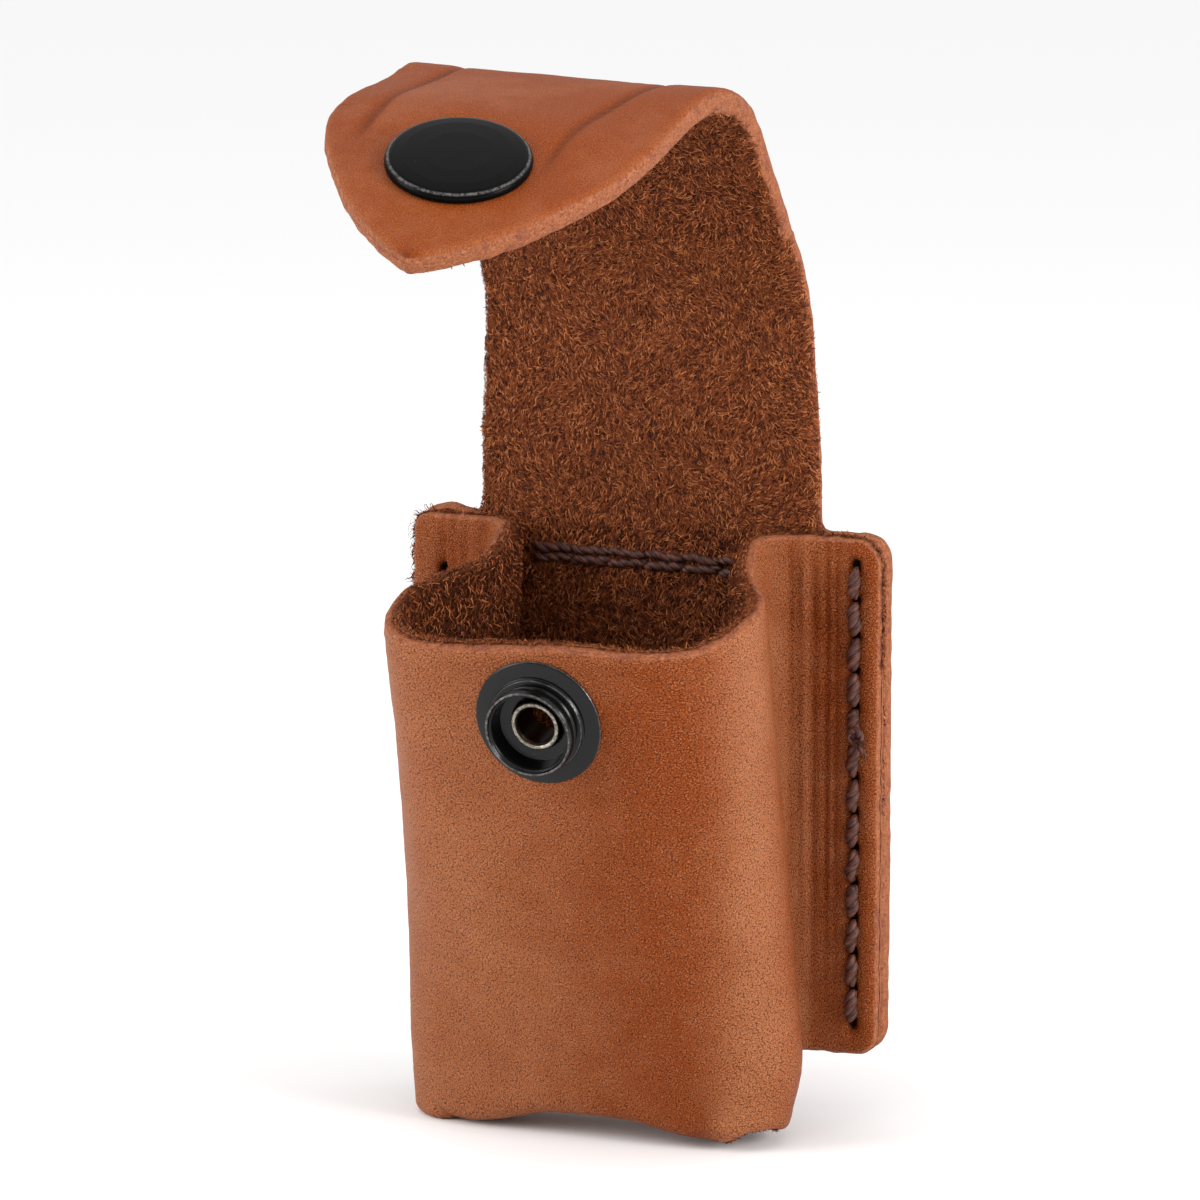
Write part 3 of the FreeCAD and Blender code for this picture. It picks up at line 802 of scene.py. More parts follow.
def strip_outline():
    """The cut shape of the back panel and flap, with its points on the split lines."""
    r_low, r_neck = 2.6, 1.0
    neck = strip_half_width(S_SHOULDER)
    lengths = np.concatenate([np.linspace(S_SHOULDER + r_neck + 0.4, S_SNAP - 9.5, 120),
                              np.linspace(S_SNAP - 9.4, S_TIP, 80)])

    def half_outline(half, r_shoulder):
        points = [(half - r_low, 0.0)]
        points += arc((half - r_low, r_low), r_low, -90, 0)
        points += arc((half - r_shoulder, S_SHOULDER - r_shoulder), r_shoulder, 0, 90)
        points += list(reversed(arc((neck + r_neck, S_SHOULDER + r_neck), r_neck, 180, 270)))
        return points + list(zip(strip_half_width(lengths), lengths))

    left = [(x - left_trim(v), v) for x, v in half_outline(PANEL_LEFT, 1.2)]
    right = [(-x, s) for x, s in reversed(half_outline(PANEL_RIGHT, 2.8)[:-1])]
    loop = resample([(0.0, 0.0)] + left + right, EDGE_STEP)
    loop = wobbled(loop, 0.05, 21)
    hump = bump(loop[:, 0] - 24.0, 1.9) * smooth((loop[:, 1] - S_SHOULDER + 2.0) / 1.5)
    loop[:, 1] += 0.7 * hump * (loop[:, 1] < S_SHOULDER + 3)
    for level in (S_SPLIT_MIDDLE, S_SPLIT_ROOF):
        for side in (1, -1):
            near = np.where(loop[:, 0] * side > 0, np.abs(loop[:, 1] - level), BIG)
            loop[np.argmin(near), 1] = level
    return loop


def emboss(flat):
    """Pressed line near each edge of the flap that runs in to the snap, and the lower ground between."""
    x, s = -flat[:, 0], flat[:, 1]
    to_snap = smooth((s - S_SPLIT_ROOF + 4.0) / 26.0)
    place = np.abs(x) - np.where(x > 0, 11.3 - 3.0 * to_snap, 11.8)
    present = smooth((s - S_SPLIT_MIDDLE) / 6.0) * smooth((S_SNAP + 1.0 - s) / 7.0)
    return bump(place, 0.6) * present, smooth(-place / 1.6) * present


def strip_relief(flat, middle, sign):
    """Height of the strip's own relief over its smooth surface; sign is 1 on the grain side."""
    x, y, z = middle.T
    s = flat[:, 1]
    soft = 0.10 * waves(flat, 26.0, 23) + 0.03 * waves(flat, 6.0, 24)
    if sign < 0:
        return soft + 0.06 * waves(flat, 2.0, 25) + 0.04 * waves(flat, 1.1, 26)
    line, shelf = emboss(flat)
    channel = seam_channel(x) * smooth((s - 1.5) / 1.0) * smooth((55.0 - s) / 1.0)
    return (soft - 0.48 * line - 0.12 * shelf - 0.25 * channel - 0.6 * hole_pits(x, z) * (s < S_SHOULDER)
            + 0.015 * waves(flat, 1.3, 27))


def strip_tone_and_painted_shade(flat, middle, depth):
    """How far the leather has faded, with painted shade in the pressed lines; below 0 as painted shade in the
    stitch holes, and at the thumbed tip.
    """
    s = flat[:, 1]
    # painted shade in the stitch holes
    holes = hole_pits(middle[:, 0], middle[:, 2]) * (s < S_SHOULDER)
    thumbed = bump(s - S_TIP, 1.1) * bump(flat[:, 0] - 0.3, 1.8)
    # painted shade in the pressed lines
    line, _ = emboss(flat)
    return (0.03 + 0.05 * waves(flat, 18.0, 28) + 0.20 * smooth((1.2 - depth) / 1.0) - 0.45 * line
            - 3.0 * holes - 0.95 * thumbed)


def make_strip_sheet():
    fine = seam_fine_points({side: -x for side, (x, _) in SEAMS.items()}) - np.array([0, FLANGE_BOTTOM])
    return Sheet(strip_surface, strip_outline(), T, 0.9, 0.75, strip_relief, strip_tone_and_painted_shade, grain=0.5,
                 splits=(S_SPLIT_MIDDLE, S_SPLIT_ROOF), fine_points=fine)


# ------------------------------------------------------------------ belt loop

LOOP = Line(LOOP_LINE)


def loop_surface(flat):
    return np.column_stack([-flat[:, 0], LOOP.at(flat[:, 1])])


def loop_outline():
    r = 2.2
    w, s = LOOP_HALF, LOOP.lengths[-1]
    points = arc((w - r, r), r, -90, 0) + arc((w - r, s - r), r, 0, 90)
    points += arc((r - w, s - r), r, 90, 180) + arc((r - w, r), r, 180, 270)
    return wobbled(resample(points, 0.6), 0.05, 31)


def loop_relief(flat, middle, sign):
    x, y, z = middle.T
    soft = 0.06 * waves(flat, 20.0, 33) + 0.02 * waves(flat, 5.0, 34)
    if sign < 0:
        return soft * 0.3
    pressed = np.zeros(len(x))
    reach = LOOP_PITCH * LOOP_STITCHES / 2
    for height in (LOOP_SEAM_TOP, LOOP_SEAM_BOTTOM):
        above = z - height - LOOP_TILT * x
        pressed += bump(above, 0.6) * smooth((reach + 0.6 - np.abs(x)) / 0.6)
        for k in range(LOOP_STITCHES + 1):
            pressed += 2.0 * bump(above, 0.42) * bump(x + reach - LOOP_PITCH * k, 0.45)
    return soft - 0.25 * pressed


def loop_pale(flat, middle, depth):
    return 0.25 + 0.12 * waves(flat, 16.0, 35) + 0.25 * smooth((1.2 - depth) / 1.0)


# ------------------------------------------------------------------ thread

def ring_grid(rows, sides):
    """Point numbers of a tube's rings, and the same with each ring turned by one point."""
    index = np.arange(rows * sides).reshape(rows, sides)
    return index, np.roll(index, -1, axis=1)


def rope(path, radius, pitch, lobes=2, taper=True):
    """Twisted thread along a path: point and face arrays, with angle, length and ply for the finish."""
    sides = 18
    count = max(int(lengths_along(path)[-1] / 0.11), 8)
    line = smooth_through(path, np.linspace(0, 1, count))
    lengths = lengths_along(line)
    tangent = unit(np.gradient(line, axis=0))
    reference = np.array([0.3, 0.9, 0.31]) if abs(tangent[count // 2][1]) < 0.8 else np.array([0.9, 0.1, 0.4])
    a = unit(np.cross(tangent, reference))
    b = np.cross(tangent, a)
    angle = np.linspace(0, 2 * math.pi, sides, endpoint=False)
    phase = lengths[:, None] / pitch * 2 * math.pi + random.uniform(0, 6)
    ply = np.abs(np.cos((angle[None, :] - phase) * lobes / 2))
    size = radius * (0.70 + 0.36 * ply ** 0.8)
    if taper:
        size = size * (0.30 + 0.70 * smooth(np.minimum(lengths, lengths[-1] - lengths) / 1.7))[:, None]
    points = (line[:, None, :] + size[:, :, None] * (np.cos(angle)[None, :, None] * a[:, None, :]
                                                      + np.sin(angle)[None, :, None] * b[:, None, :]))
    index, across = ring_grid(count, sides)
    quads = [np.stack([index[:-1], index[1:], across[1:]], -1).reshape(-1, 3),
             np.stack([index[:-1], across[1:], across[:-1]], -1).reshape(-1, 3)]
    ends = [np.array([[index[0, 0], index[0, k], index[0, k + 1]] for k in range(1, sides - 1)]),
            np.array([[index[-1, 0], index[-1, k + 1], index[-1, k]] for k in range(1, sides - 1)])]
    rest = np.stack([np.broadcast_to(angle[None, :] - phase, ply.shape) * radius,
                     np.broadcast_to(lengths[:, None], ply.shape), ply], -1)
    return points.reshape(-1, 3), np.vstack(quads + ends), rest.reshape(-1, 3)


def thread_object(name, ropes, material):
    points, faces, rest, total = [], [], [], 0
    for p, f, r in ropes:
        points.append(p)
        faces.append(f + total)
        rest.append(r)
        total += len(p)
    return new_object(name, np.vstack(points), np.vstack(faces), material, {"rest": np.vstack(rest)})


def stitch(start, end, out, radius, height):
    """One thread run from hole to hole, arching over the leather."""
    start, end, out = (np.array(p, float) for p in (start, end, out))
    along = end - start
    sway = np.cross(unit(along), out) * random.uniform(-0.14, 0.14)
    path = [start - out * 0.75,
            start + along * 0.06 + out * height * 0.35,
            start + along * 0.30 + out * height + sway,
            start + along * 0.70 + out * height * 1.05 - sway,
            start + along * 0.94 + out * height * 0.35,
            end - out * 0.75]
    return rope(path, radius * random.uniform(0.93, 1.08), random.uniform(2.5, 3.3))


def side_seam(side):
    """Stitches of one side seam, on the front and on the back."""
    ropes = []
    heights = seam_heights(side)
    x = SEAMS[side][0]
    for low, high in zip(heights, heights[1:]):
        for y, out in ((-T, (0, -1, 0)), (T, (0, 1, 0))):
            shift = random.uniform(0.02, 0.20)
            ropes.append(stitch((x - shift, y, low + 0.38), (x + shift, y, high - 0.38), out,
                                THREAD_R * 1.12, 0.34))
    return ropes


def knot_ropes():
    """Overhand knot on the right seam and its short cut tail."""
    x, y, z = KNOT
    turns = []
    for k in range(15):
        a = k * 0.75
        turns.append((x - 0.55 + 0.62 * math.cos(a), y + 0.30 - 0.05 * k * 0.3 + 0.25 * math.sin(a * 0.5),
                      z + 0.75 * math.sin(a)))
    tail = [(x - 0.6, y + 0.1, z - 0.3), (x - 0.1, y - 0.1, z - 1.0), (x + 0.45, y - 0.1, z - 1.5),
            (x + 0.75, y + 0.05, z - 2.3)]
    stub = [(x - 0.5, y + 0.1, z - 0.2), (x + 0.2, y - 0.3, z - 0.5), (x + 1.0, y - 0.35, z - 0.45)]
    return [rope(turns, 0.40, 1.8), rope(tail, 0.38, 1.8), rope(stub, 0.36, 1.8)]


def loop_row(z, y, out, radius, drop):
    """One row of stitches across the belt loop's end."""
    ropes = []
    reach = LOOP_PITCH * LOOP_STITCHES / 2
    for k in range(LOOP_STITCHES):
        x = -reach + LOOP_PITCH * k
        start = (x - 0.25, y, z + LOOP_TILT * x + drop)
        end = (x + LOOP_PITCH + 0.25, y, z + LOOP_TILT * (x + LOOP_PITCH) - drop)
        ropes.append(stitch(start, end, out, radius, 0.32))
    return ropes


# ------------------------------------------------------------------ turned metal

def soften(profile, cut):
    """Profile with its corners rounded."""
    pts = np.array(profile, float)
    out = [pts[0]]
    for before, here, after in zip(pts, pts[1:], pts[2:]):
        to_before, to_after = before - here, after - here
        reach = min(cut, 0.45 * np.linalg.norm(to_before), 0.45 * np.linalg.norm(to_after))
        p, q = here + unit(to_before) * reach, here + unit(to_after) * reach
        for t in np.linspace(0, 1, 5):
            out.append((1 - t) ** 2 * p + 2 * t * (1 - t) * here + t * t * q)
    out.append(pts[-1])
    return np.array(out)


def turned(name, profile, matrix, material, cut):
    """Surface of revolution about the matrix's Z from an (r, z) profile in mm."""
    segments = 160
    outline = soften(profile, cut)
    angle = np.linspace(0, 2 * math.pi, segments, endpoint=False)
    local = np.stack([outline[:, None, 0] * np.cos(angle), outline[:, None, 0] * np.sin(angle),
                      np.broadcast_to(outline[:, None, 1], (len(outline), segments))], -1).reshape(-1, 3)
    index, across = ring_grid(len(outline), segments)
    faces = np.vstack([np.stack([index[:-1], across[:-1], across[1:]], -1).reshape(-1, 3),
                       np.stack([index[:-1], across[1:], index[1:]], -1).reshape(-1, 3)])
    radius = np.broadcast_to(outline[:, None, 0], (len(outline), segments)).reshape(-1)
    return new_object(name, placed(local, matrix), faces, material, {"rest": local, "edge": radius})


def placed(points, matrix):
    m = np.array(matrix)
    return points @ m[:3, :3].T + m[:3, 3]


def frame_matrix(origin, z_axis, y_axis):
    """Frame with the given Z, and with Y as near as it can be to the given one."""
    z = Vector(z_axis).normalized()
    y = Vector(y_axis)
    y = (y - z * y.dot(z)).normalized()
    x = y.cross(z)
    return Matrix(((x[0], y[0], z[0], origin[0]), (x[1], y[1], z[1], origin[1]),
                   (x[2], y[2], z[2], origin[2]), (0, 0, 0, 1)))


def cap_matrix():
    """Frame on the flap's upper face at the snap."""
    middle = rolled(np.array([[0.0, *SNAP_MIDDLE]]))[0]
    out = rolled(np.array([[0.0, SNAP_MIDDLE[0] + TIP_DIR[1], SNAP_MIDDLE[1] - TIP_DIR[0]]]))[0] - middle
    along = (0.0, TIP_DIR[0], TIP_DIR[1])
    return frame_matrix(middle + unit(out) * T / 2, out, along)


def stud_matrix():
    """Frame on the front's middle surface at the stud."""
    return frame_matrix(STUD_POINT, (0, -math.cos(FRONT_LEAN), -math.sin(FRONT_LEAN)), (0, 0, 1))


# ------------------------------------------------------------------ finishes

class Nodes:
    """Short way to write a node material."""

    def __init__(self, name):
        self.material = bpy.data.materials.new(name)
        self.material.use_nodes = True
        self.tree = self.material.node_tree
        self.shader = self.tree.nodes["Principled BSDF"]

    def add(self, kind, inputs=None, **settings):
        node = self.tree.nodes.new(kind)
        for key, value in settings.items():
            setattr(node, key, value)
        for key, value in (inputs or {}).items():
            self.feed(node.inputs[key], value)
        return node

    def feed(self, socket, value):
        if isinstance(value, bpy.types.NodeSocket):
            self.tree.links.new(value, socket)
        else:
            socket.default_value = value

    def attribute(self, name, output="Fac"):
        return self.add("ShaderNodeAttribute", attribute_name=name).outputs[output]

    def noise(self, where, scale, detail=3.0, rough=0.5, distortion=0.0):
        return self.add("ShaderNodeTexNoise", {"Vector": where, "Scale": scale, "Detail": detail,
                                               "Roughness": rough, "Distortion": distortion}).outputs["Fac"]

    def cells(self, where, scale):
        """Cell pattern across the sheet, the same through its thickness."""
        return self.add("ShaderNodeTexVoronoi", {"Vector": where, "Scale": scale},
                        voronoi_dimensions="2D").outputs["Distance"]

    def stretch(self, where, scale):
        return self.add("ShaderNodeMapping", {"Vector": where, "Scale": scale}).outputs["Vector"]

    def maths(self, operation, a, b=0.0, clamp=False):
        node = self.add("ShaderNodeMath", operation=operation, use_clamp=clamp)
        self.feed(node.inputs[0], a)
        self.feed(node.inputs[1], b)
        return node.outputs[0]

    def ramp(self, value, low, high, out_low=0.0, out_high=1.0):
        node = self.add("ShaderNodeMapRange", {"Value": value, "From Min": low, "From Max": high,
                                               "To Min": out_low, "To Max": out_high},
                        interpolation_type="SMOOTHSTEP")
        return node.outputs["Result"]

    def mix(self, share, a, b):
        node = self.add("ShaderNodeMix", data_type="RGBA")
        self.feed(node.inputs["Factor"], share)
        self.feed(node.inputs["A"], a if isinstance(a, bpy.types.NodeSocket) else (*a, 1.0))
        self.feed(node.inputs["B"], b if isinstance(b, bpy.types.NodeSocket) else (*b, 1.0))
        return node.outputs["Result"]

    def blend(self, share, a, b):
        node = self.add("ShaderNodeMix", {"Factor": share, "A": a, "B": b}, data_type="FLOAT")
        return node.outputs["Result"]

    def bump(self, height, distance, strength=1.0):
        inputs = {"Height": height, "Distance": distance, "Strength": strength}
        return self.add("ShaderNodeBump", inputs).outputs["Normal"]

    def set(self, **values):
        """Feeds the shader's sockets; an underscore stands for a space."""
        for key, value in values.items():
            name = key.replace("_", " ")
            if isinstance(value, tuple):
                value = (*value, 1.0)
            self.feed(self.shader.inputs[name], value)


def leather_material():
    """Grain, flesh and cut edge in one, told apart by the side attribute."""
    n = Nodes("leather")
    rest = n.attribute("rest", "Vector")
    side = n.attribute("side")
    tone_and_painted_light = n.attribute("tone_and_painted_light")

    broad = n.noise(rest, 0.06, 2.0)
    cloudy = n.noise(rest, 0.30, 4.0, 0.6)
    fine = n.noise(rest, 3.2, 3.0, 0.6)
    warp = n.add("ShaderNodeTexNoise", {"Vector": rest, "Scale": 1.7, "Detail": 1.0}).outputs["Color"]
    bent = n.add("ShaderNodeVectorMath", {0: warp}, operation="SCALE")
    bent.inputs["Scale"].default_value = 0.35
    place = n.add("ShaderNodeVectorMath", {0: rest, 1: bent.outputs["Vector"]}, operation="ADD")
    pebble = n.cells(place.outputs["Vector"], 5.2)
    amount = n.attribute("grain")

    # the tone_and_painted_light attribute plus random fading sets the grain from deep to pale, painted light
    # and painted shade included
    tone_and_light_level = n.maths("ADD", tone_and_painted_light, n.ramp(broad, 0.30, 0.70, -0.12, 0.12))
    tone_and_light_level = n.maths("ADD", tone_and_light_level, n.ramp(cloudy, 0.30, 0.70, -0.10, 0.14))
    grain = n.mix(n.maths("MULTIPLY", tone_and_light_level, 1.0, clamp=True), (0.262, 0.050, 0.006), (0.430, 0.150, 0.062))
    gaps = n.maths("MULTIPLY", n.ramp(pebble, 0.36, 0.60), n.ramp(fine, 0.34, 0.58, 0.45, 1.0))
    gaps = n.maths("MULTIPLY", gaps, amount)
    grain = n.mix(n.maths("MULTIPLY", gaps, 0.76), grain, (0.060, 0.011, 0.003))
    tops = n.maths("MULTIPLY", n.ramp(pebble, 0.34, 0.10), n.ramp(fine, 0.40, 0.62))
    tops = n.maths("MULTIPLY", tops, amount)
    grain = n.mix(n.maths("MULTIPLY", tops, 0.55), grain, (0.62, 0.245, 0.090))
    # below 0 the grain darkens: painted shade in the pressed lines, seam channels and stitch holes, and the
    # thumbed tip
    grain = n.mix(n.ramp(tone_and_painted_light, 0.0, -0.45, 0.0, 0.5), grain, (0.085, 0.017, 0.004))

    tufts = n.noise(rest, 3.6, 4.0, 0.7, 1.2)
    patches = n.noise(rest, 0.5, 3.0, 0.6)
    # the flesh's own tufted tone, kept dark as painted shade in the gaps between the loose fibres
    flesh = n.mix(n.ramp(tufts, 0.38, 0.64), (0.018, 0.004, 0.002), (0.130, 0.032, 0.009))
    flesh = n.mix(n.ramp(patches, 0.40, 0.75, 0.0, 0.30), flesh, (0.060, 0.015, 0.006))

    streaks = n.noise(n.stretch(rest, (1.0, 1.0, 1.3)), 2.4, 5.0, 0.75, 1.2)
    blotch = n.noise(rest, 0.5, 3.0, 0.6)
    cut = n.mix(n.ramp(streaks, 0.36, 0.62), (0.190, 0.052, 0.022), (0.410, 0.145, 0.065))
    cut = n.mix(n.ramp(streaks, 0.60, 0.74, 0.0, 0.8), cut, (0.600, 0.290, 0.160))
    cut = n.mix(n.ramp(blotch, 0.52, 0.74, 0.0, 0.60), cut, (0.150, 0.045, 0.036))

    to_grain = n.ramp(n.maths("ADD", side, n.maths("MULTIPLY", fine, 0.12)), 0.66, 0.86)
    to_flesh = n.ramp(n.maths("ADD", side, n.maths("MULTIPLY", fine, 0.12)), -0.78, -0.90)
    colour = n.mix(to_flesh, n.mix(to_grain, cut, grain), flesh)
    # far below 0 it goes near black: painted shade in the stitch holes, and the thumbed tip
    colour = n.mix(n.ramp(tone_and_painted_light, -0.50, -1.30), colour, (0.012, 0.004, 0.002))

    grain_height = n.maths("MULTIPLY", n.ramp(pebble, 0.60, 0.15), amount)
    grain_height = n.maths("ADD", grain_height, n.maths("MULTIPLY", fine, 0.5))
    flesh_height = n.maths("MULTIPLY", tufts, 4.0)
    cut_height = n.maths("ADD", n.maths("MULTIPLY", streaks, 1.6), n.maths("MULTIPLY", fine, 1.2))
    both = n.blend(to_flesh, n.blend(to_grain, cut_height, grain_height), flesh_height)
    rough = n.ramp(n.maths("ADD", to_flesh, n.ramp(to_grain, 1.0, 0.0, 0.0, 0.4)), 0.0, 1.0, 0.46, 0.95)
    n.set(Base_Color=colour, Roughness=rough, Normal=n.bump(both, 0.00008, 1.0), Specular_IOR_Level=0.10)
    return n.material


def nap_material():
    """Loose fibres of the flesh side."""
    n = Nodes("nap")
    tone = n.attribute("tone")
    colour = n.mix(n.ramp(tone, 0.0, 0.6), (0.036, 0.008, 0.003), (0.215, 0.051, 0.014))
    colour = n.mix(n.ramp(tone, 0.70, 1.0), colour, (0.480, 0.160, 0.054))
    n.set(Base_Color=colour, Roughness=0.7, Specular_IOR_Level=0.12)
    return n.material


def thread_material():
    """Waxed two-ply thread, with painted shade in the grooves between the plies."""
    n = Nodes("thread")
    rest = n.attribute("rest", "Vector")
    strands = n.noise(n.stretch(rest, (5.0, 0.8, 0.4)), 1.6, 3.0, 0.6)
    ply = n.add("ShaderNodeSeparateXYZ", {"Vector": rest}).outputs["Z"]
    colour = n.mix(n.ramp(strands, 0.35, 0.66), (0.012, 0.004, 0.003), (0.155, 0.052, 0.034))
    # painted shade: near black in the grooves between the plies
    colour = n.mix(n.ramp(ply, 0.35, 0.0), colour, (0.004, 0.002, 0.002))
    n.set(Base_Color=colour, Normal=n.bump(strands, 0.0001, 0.8), Roughness=0.5, Specular_IOR_Level=0.3)
    return n.material


def black_material(name, level, rims):
    """Glossy black lacquer, rubbed through in spots and along its rims.

    Each rim is a group of (radius or height, from, to) ramps that are multiplied."""
    n = Nodes(name)
    rest = n.attribute("rest", "Vector")
    scuff = n.noise(n.stretch(rest, (0.5, 3.0, 1.0)), 1.6, 5.0, 0.7)
    spots = n.noise(rest, 2.4, 5.0, 0.7)
    readings = {"radius": n.attribute("edge"),
                "height": n.add("ShaderNodeSeparateXYZ", {"Vector": rest}).outputs["Z"]}
    worn = n.ramp(spots, 0.68, 0.76, 0.0, 0.4)
    for group in rims:
        rim = n.ramp(spots, 0.38, 0.64, 0.12, 0.90)
        for reading, low, high in group:
            rim = n.maths("MULTIPLY", rim, n.ramp(readings[reading], low, high))
        worn = n.maths("MAXIMUM", worn, rim)
    n.set(Base_Color=n.mix(worn, (0.003, 0.003, 0.003), (0.18, 0.17, 0.165)), Metallic=worn,
          Roughness=n.ramp(scuff, 0.3, 0.75, 0.14, 0.30), Normal=n.bump(scuff, 0.00003, 0.25),
          Specular_IOR_Level=level)
    return n.material


def metal_material(name, bright, dull, roughness, shaded_bore=False):
    """Worn bare metal; on the eyelet the inside of its bore is dark with painted shade."""
    n = Nodes(name)
    rest = n.attribute("rest", "Vector")
    wear = n.noise(n.stretch(rest, (1.5, 1.5, 6.0)), 1.8, 5.0, 0.7)
    depth = n.add("ShaderNodeSeparateXYZ", {"Vector": rest}).outputs["Z"]
    colour = n.mix(n.ramp(wear, 0.35, 0.65), dull, bright)
    if shaded_bore:
        # painted shade: near black down inside the bore
        colour = n.mix(n.ramp(depth, 0.9, 0.4), colour, (0.006, 0.004, 0.003))
    n.set(Base_Color=colour, Metallic=1.0, Roughness=n.ramp(wear, 0.3, 0.7, roughness + 0.15, roughness),
          Normal=n.bump(wear, 0.00004, 0.5))
    return n.material


# ------------------------------------------------------------------ the pouch

def take_place(obj, nodes, slot, body=None, bend=None):
    """Parents a piece to its CAD body or bakes its placement in, and hides the CAD nodes it stands for."""
    if body:
        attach(obj, body)
    else:
        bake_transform(obj)
    if nodes:
        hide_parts(*nodes)


def bend_points(p, q):
    """Start and end of a bend, from (y, z) in mm."""
    ends = to_row([(0.0, *p), (0.0, *q)])
    return tuple(ends[0]), tuple(ends[1])


def twist_points():
    start = (TWIST_POINT[0] - TIP_DIR[0] * TWIST_LENGTH, TWIST_POINT[1] - TIP_DIR[1] * TWIST_LENGTH)
    return bend_points(start, TWIST_POINT)


LOWER_BEND = ("pouch", "flap_middle", *bend_points((0.9, 76.5), (-0.2, 88.0)))
MIDDLE_BEND = ("flap_middle", "flap_top", *bend_points((-14.2, 108.7), (-24.0, 115.6)))
UPPER_BEND = ("flap_top", "flap_end", *twist_points())


def make_leather(leather, nap):
    shell = make_shell_sheet()
    take_place(sheet_object("pouch_front", shell, leather), ["front_shell"], "leather", body="pouch")

    strip = make_strip_sheet()
    lower = sheet_object("back_and_riser", strip, leather, high=S_SPLIT_MIDDLE)
    take_place(lower, ["back_panel"], "leather", bend=LOWER_BEND)
    middle = sheet_object("flap_bend", strip, leather, S_SPLIT_MIDDLE, S_SPLIT_ROOF)
    take_place(middle, ["flap_mid"], "leather", bend=MIDDLE_BEND)
    upper = sheet_object("flap_front", strip, leather, S_SPLIT_ROOF)
    take_place(upper, ["flap_roof", "flap_tip"], "leather", bend=UPPER_BEND)

    loop = Sheet(loop_surface, loop_outline(), LOOP_T, 0.8, 0.9, loop_relief, loop_pale, grain=0.6)
    take_place(sheet_object("belt_loop_strip", loop, leather), ["belt_loop"], "leather", body="pouch")

    make_nap(shell, strip, nap)


def make_nap(shell, strip, nap):
    """Loose fibres on the flesh side and on the cut edge of the mouth."""
    s_half = (S_SHOULDER + S_SPLIT_MIDDLE) / 2
    foot_corner = SHELL_LENGTH / 2 + 14.0
    zones = [
        ("nap_inside", strip, 21000, (-17.2, 17.2), (26.0, S_SHOULDER), 0.0),
        ("nap_riser_low", strip, 30000, (-21.0, 21.0), (S_SHOULDER, s_half), 0.0),
        ("nap_riser_high", strip, 30000, ANY, (s_half, S_SPLIT_MIDDLE), 0.0),
        ("nap_bend", strip, 26000, ANY, (S_SPLIT_MIDDLE, S_SPLIT_ROOF), 0.3),
        ("nap_front", strip, 10000, ANY, (S_SPLIT_ROOF, S_TIP), 1.2),
        ("nap_shell", shell, 22000, ANY, (34.0, BIG), 0.0)]
    bends = {"nap_bend": MIDDLE_BEND, "nap_front": UPPER_BEND}
    for name, sheet, count, across, along, margin in zones:
        places = scatter(sheet, sheet.flesh_faces, count, across, along, margin)
        tie = {"body": "pouch"} if sheet is shell else {"bend": bends.get(name, LOWER_BEND)}
        obj = fibres(name, *places, nap, length=(0.4, 1.05), width=(0.09, 0.17), lift=(0.05, 0.36))
        take_place(obj, [], "leather", **tie)

    edge_zones = [
        ("nap_rim", 13000, ANY, (50.0, BIG), (0.3, 0.8), (0.08, 0.15), (0.04, 0.28)),
        ("nap_foot", 1600, (foot_corner, foot_corner + 14.0), (-BIG, 6.0),
         (0.2, 0.6), (0.07, 0.14), (0.03, 0.22)),
        ("nap_corner", 260, (-BIG, 2.5), (56.0, BIG), (0.5, 1.4), (0.08, 0.14), (0.2, 0.9))]
    for name, count, across, along, length, width, lift in edge_zones:
        places = scatter(shell, shell.band_faces, count, across, along)
        take_place(fibres(name, *places, nap, length, width, lift), [], "leather", body="pouch")


def make_thread(thread):
    left, right = side_seam(-1), side_seam(1) + knot_ropes()
    seams = [("seam_left", left, "side_stitches_left"), ("seam_right", right, "side_stitches_right")]
    for z, word in ((LOOP_SEAM_TOP, "upper"), (LOOP_SEAM_BOTTOM, "lower")):
        rows = loop_row(z + 0.55, 0.0, (0, -1, 0), INNER_THREAD_R, 0.12)
        rows += loop_row(z - 0.55, 0.0, (0, -1, 0), INNER_THREAD_R, -0.2)
        rows += loop_row(z, T + LOOP_T, (0, 1, 0), THREAD_R, 0.0)
        seams.append(("loop_seam_" + word, rows, "loop_stitches_" + word))
    for name, ropes, node in seams:
        take_place(thread_object(name, ropes, thread), [node], "thread", body="pouch")


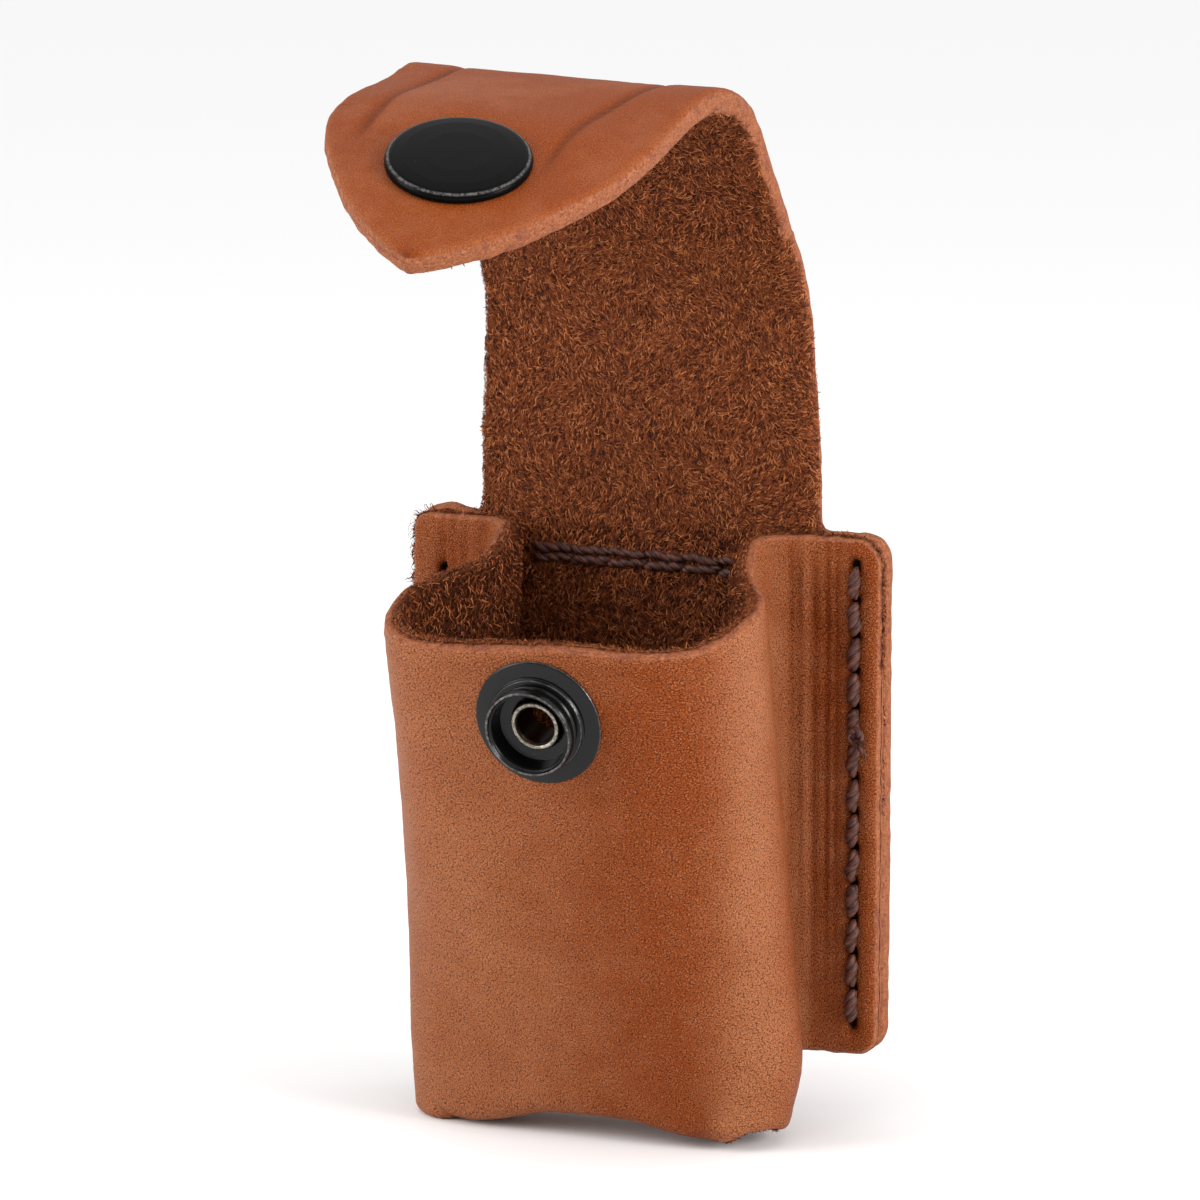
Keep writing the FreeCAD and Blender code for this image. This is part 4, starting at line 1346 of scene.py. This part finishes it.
def make_snap(cap_black, black, spring_metal, eyelet_metal):
    cap = [(0.01, 1.5), (3.5, 1.45), (5.6, 1.3), (6.7, 1.12), (7.15, 0.95), (7.42, 0.7), (7.5, 0.4),
           (7.48, 0.1), (7.3, 0.0),
           (2.2, -0.05), (2.2, -T - 0.45), (0.01, -T - 0.5)]
    socket = [(2.3, -T + 0.1), (6.5, -T + 0.05), (6.7, -T - 0.3), (6.7, -T - 2.9), (6.45, -T - 3.4),
              (5.95, -T - 3.4), (5.75, -T - 3.1), (5.75, -T - 0.6), (2.3, -T - 0.5)]
    stud = [(2.85, 0.2), (2.85, -0.1), (7.0, -0.1), (7.1, 0.12), (6.95, 0.3), (5.55, 0.62), (5.3, 0.62),
            (5.15, 0.95), (4.55, 1.05), (4.4, 1.3), (4.4, 1.75), (4.94, 2.25), (4.94, 2.9), (4.8, 3.22),
            (4.6, 3.3), (4.5, 3.1), (4.4, 2.95), (4.3, 3.0), (4.2, 2.85), (4.1, 0.7), (2.85, 0.5),
            (2.85, 0.2)]
    eyelet = [(2.15, -T - 0.5), (2.4, -T - 0.5), (6.0, -T - 0.5), (6.0, -T - 0.1), (2.55, -T), (2.55, 0.7),
              (2.7, 0.85), (2.78, 1.05), (2.68, 1.22), (2.45, 1.28), (2.25, 1.18), (2.15, 0.95),
              (2.15, -T - 0.5)]
    at_cap, at_stud = cap_matrix(), stud_matrix()
    pieces = [("cap", cap, at_cap, cap_black, "snap_cap", "snap_black", "flap_end", 0.12),
              ("socket", socket, at_cap, black, "snap_socket", "snap_black", "flap_end", 0.12),
              ("stud", stud, at_stud, black, "snap_stud", "snap_black", "pouch", 0.08),
              ("eyelet", eyelet, at_stud, eyelet_metal, "stud_eyelet", "eyelet_metal", "pouch", 0.08)]
    for name, profile, matrix, material, node, slot, body, cut in pieces:
        take_place(turned(name, profile, matrix, material, cut), [node], slot, body=body)

    angles = np.radians(np.linspace(20, 340, 60))
    ring = np.stack([SPRING_RADIUS * np.cos(angles), SPRING_RADIUS * np.sin(angles),
                     np.full(60, -T - SPRING_DEPTH)], 1)
    points, faces, rest = rope(placed(ring, at_cap), SPRING_WIRE_R, 50.0, lobes=0, taper=False)
    spring = new_object("ring_spring", points, faces, spring_metal, {"rest": rest})
    take_place(spring, ["snap_ring_spring"], "spring_wire", body="flap_end")


def make_floor(scene):
    mesh = bpy.data.meshes.new("floor")
    mesh.from_pydata([(-60, -60, 0), (60, -60, 0), (60, 60, 0), (-60, 60, 0)], [], [(0, 1, 2, 3)])
    n = Nodes("floor")
    n.set(Base_Color=(0.93, 0.93, 0.93), Roughness=1.0, Specular_IOR_Level=0.0)
    mesh.materials.append(n.material)
    floor = bpy.data.objects.new("floor", mesh)
    scene.collection.objects.link(floor)


def make_world(scene):
    """White surroundings, brighter overhead."""
    world = bpy.data.worlds.new("studio")
    world.use_nodes = True
    tree = world.node_tree
    background = tree.nodes["Background"]
    background.inputs["Color"].default_value = (1, 1, 1, 1)
    direction = tree.nodes.new("ShaderNodeTexCoord")
    split = tree.nodes.new("ShaderNodeSeparateXYZ")
    overhead = tree.nodes.new("ShaderNodeMapRange")
    overhead.inputs["To Min"].default_value = 0.30
    overhead.inputs["To Max"].default_value = 1.35
    tree.links.new(direction.outputs["Generated"], split.inputs["Vector"])
    tree.links.new(split.outputs["Z"], overhead.inputs["Value"])
    tree.links.new(overhead.outputs["Result"], background.inputs["Strength"])
    scene.world = world


def add_aimed(scene, name, data, place, target):
    """Lamp or camera that looks at the target."""
    obj = bpy.data.objects.new(name, data)
    obj.location = place
    obj.rotation_euler = (target - obj.location).to_track_quat("-Z", "Y").to_euler()
    scene.collection.objects.link(obj)
    return obj


def make_studio():
    """Pale floor, soft light and the camera."""
    scene = bpy.context.scene
    scene.view_settings.view_transform = "Standard"
    make_floor(scene)
    make_world(scene)
    for name, place, size, power in (("key", (-0.55, -0.42, 0.30), 0.40, 3.2),
                                     ("fill", (0.62, -0.10, 0.25), 0.30, 3.4)):
        light = bpy.data.lights.new(name, "AREA")
        light.size = size
        light.energy = power
        add_aimed(scene, name, light, place, Vector((0.0, 0.0, 0.058)))

    camera = bpy.data.cameras.new("camera")
    camera.sensor_width = 36.0
    camera.lens = 167.9
    camera.clip_start, camera.clip_end = 0.05, 20.0
    scene.camera = add_aimed(scene, "camera", camera, (0.2231, -0.5389, 0.1587),
                             Vector((0.00160, 0.00986, 0.05969)))


def main():
    make_leather(leather_material(), nap_material())
    make_thread(thread_material())
    make_snap(black_material("cap_black", 0.045, [[("radius", 6.95, 7.10), ("height", 0.78, 0.92)]]),
              black_material("snap_black", 0.27, [[("height", 3.16, 3.26)], [("radius", 6.98, 7.08)],
                                                  [("radius", 5.1, 5.2), ("height", 0.80, 0.90)]]),
              metal_material("spring_wire", (0.55, 0.55, 0.55), (0.35, 0.35, 0.34), 0.25),
              metal_material("eyelet_metal", (0.42, 0.38, 0.32), (0.12, 0.10, 0.08), 0.3, True))
    make_studio()


main()
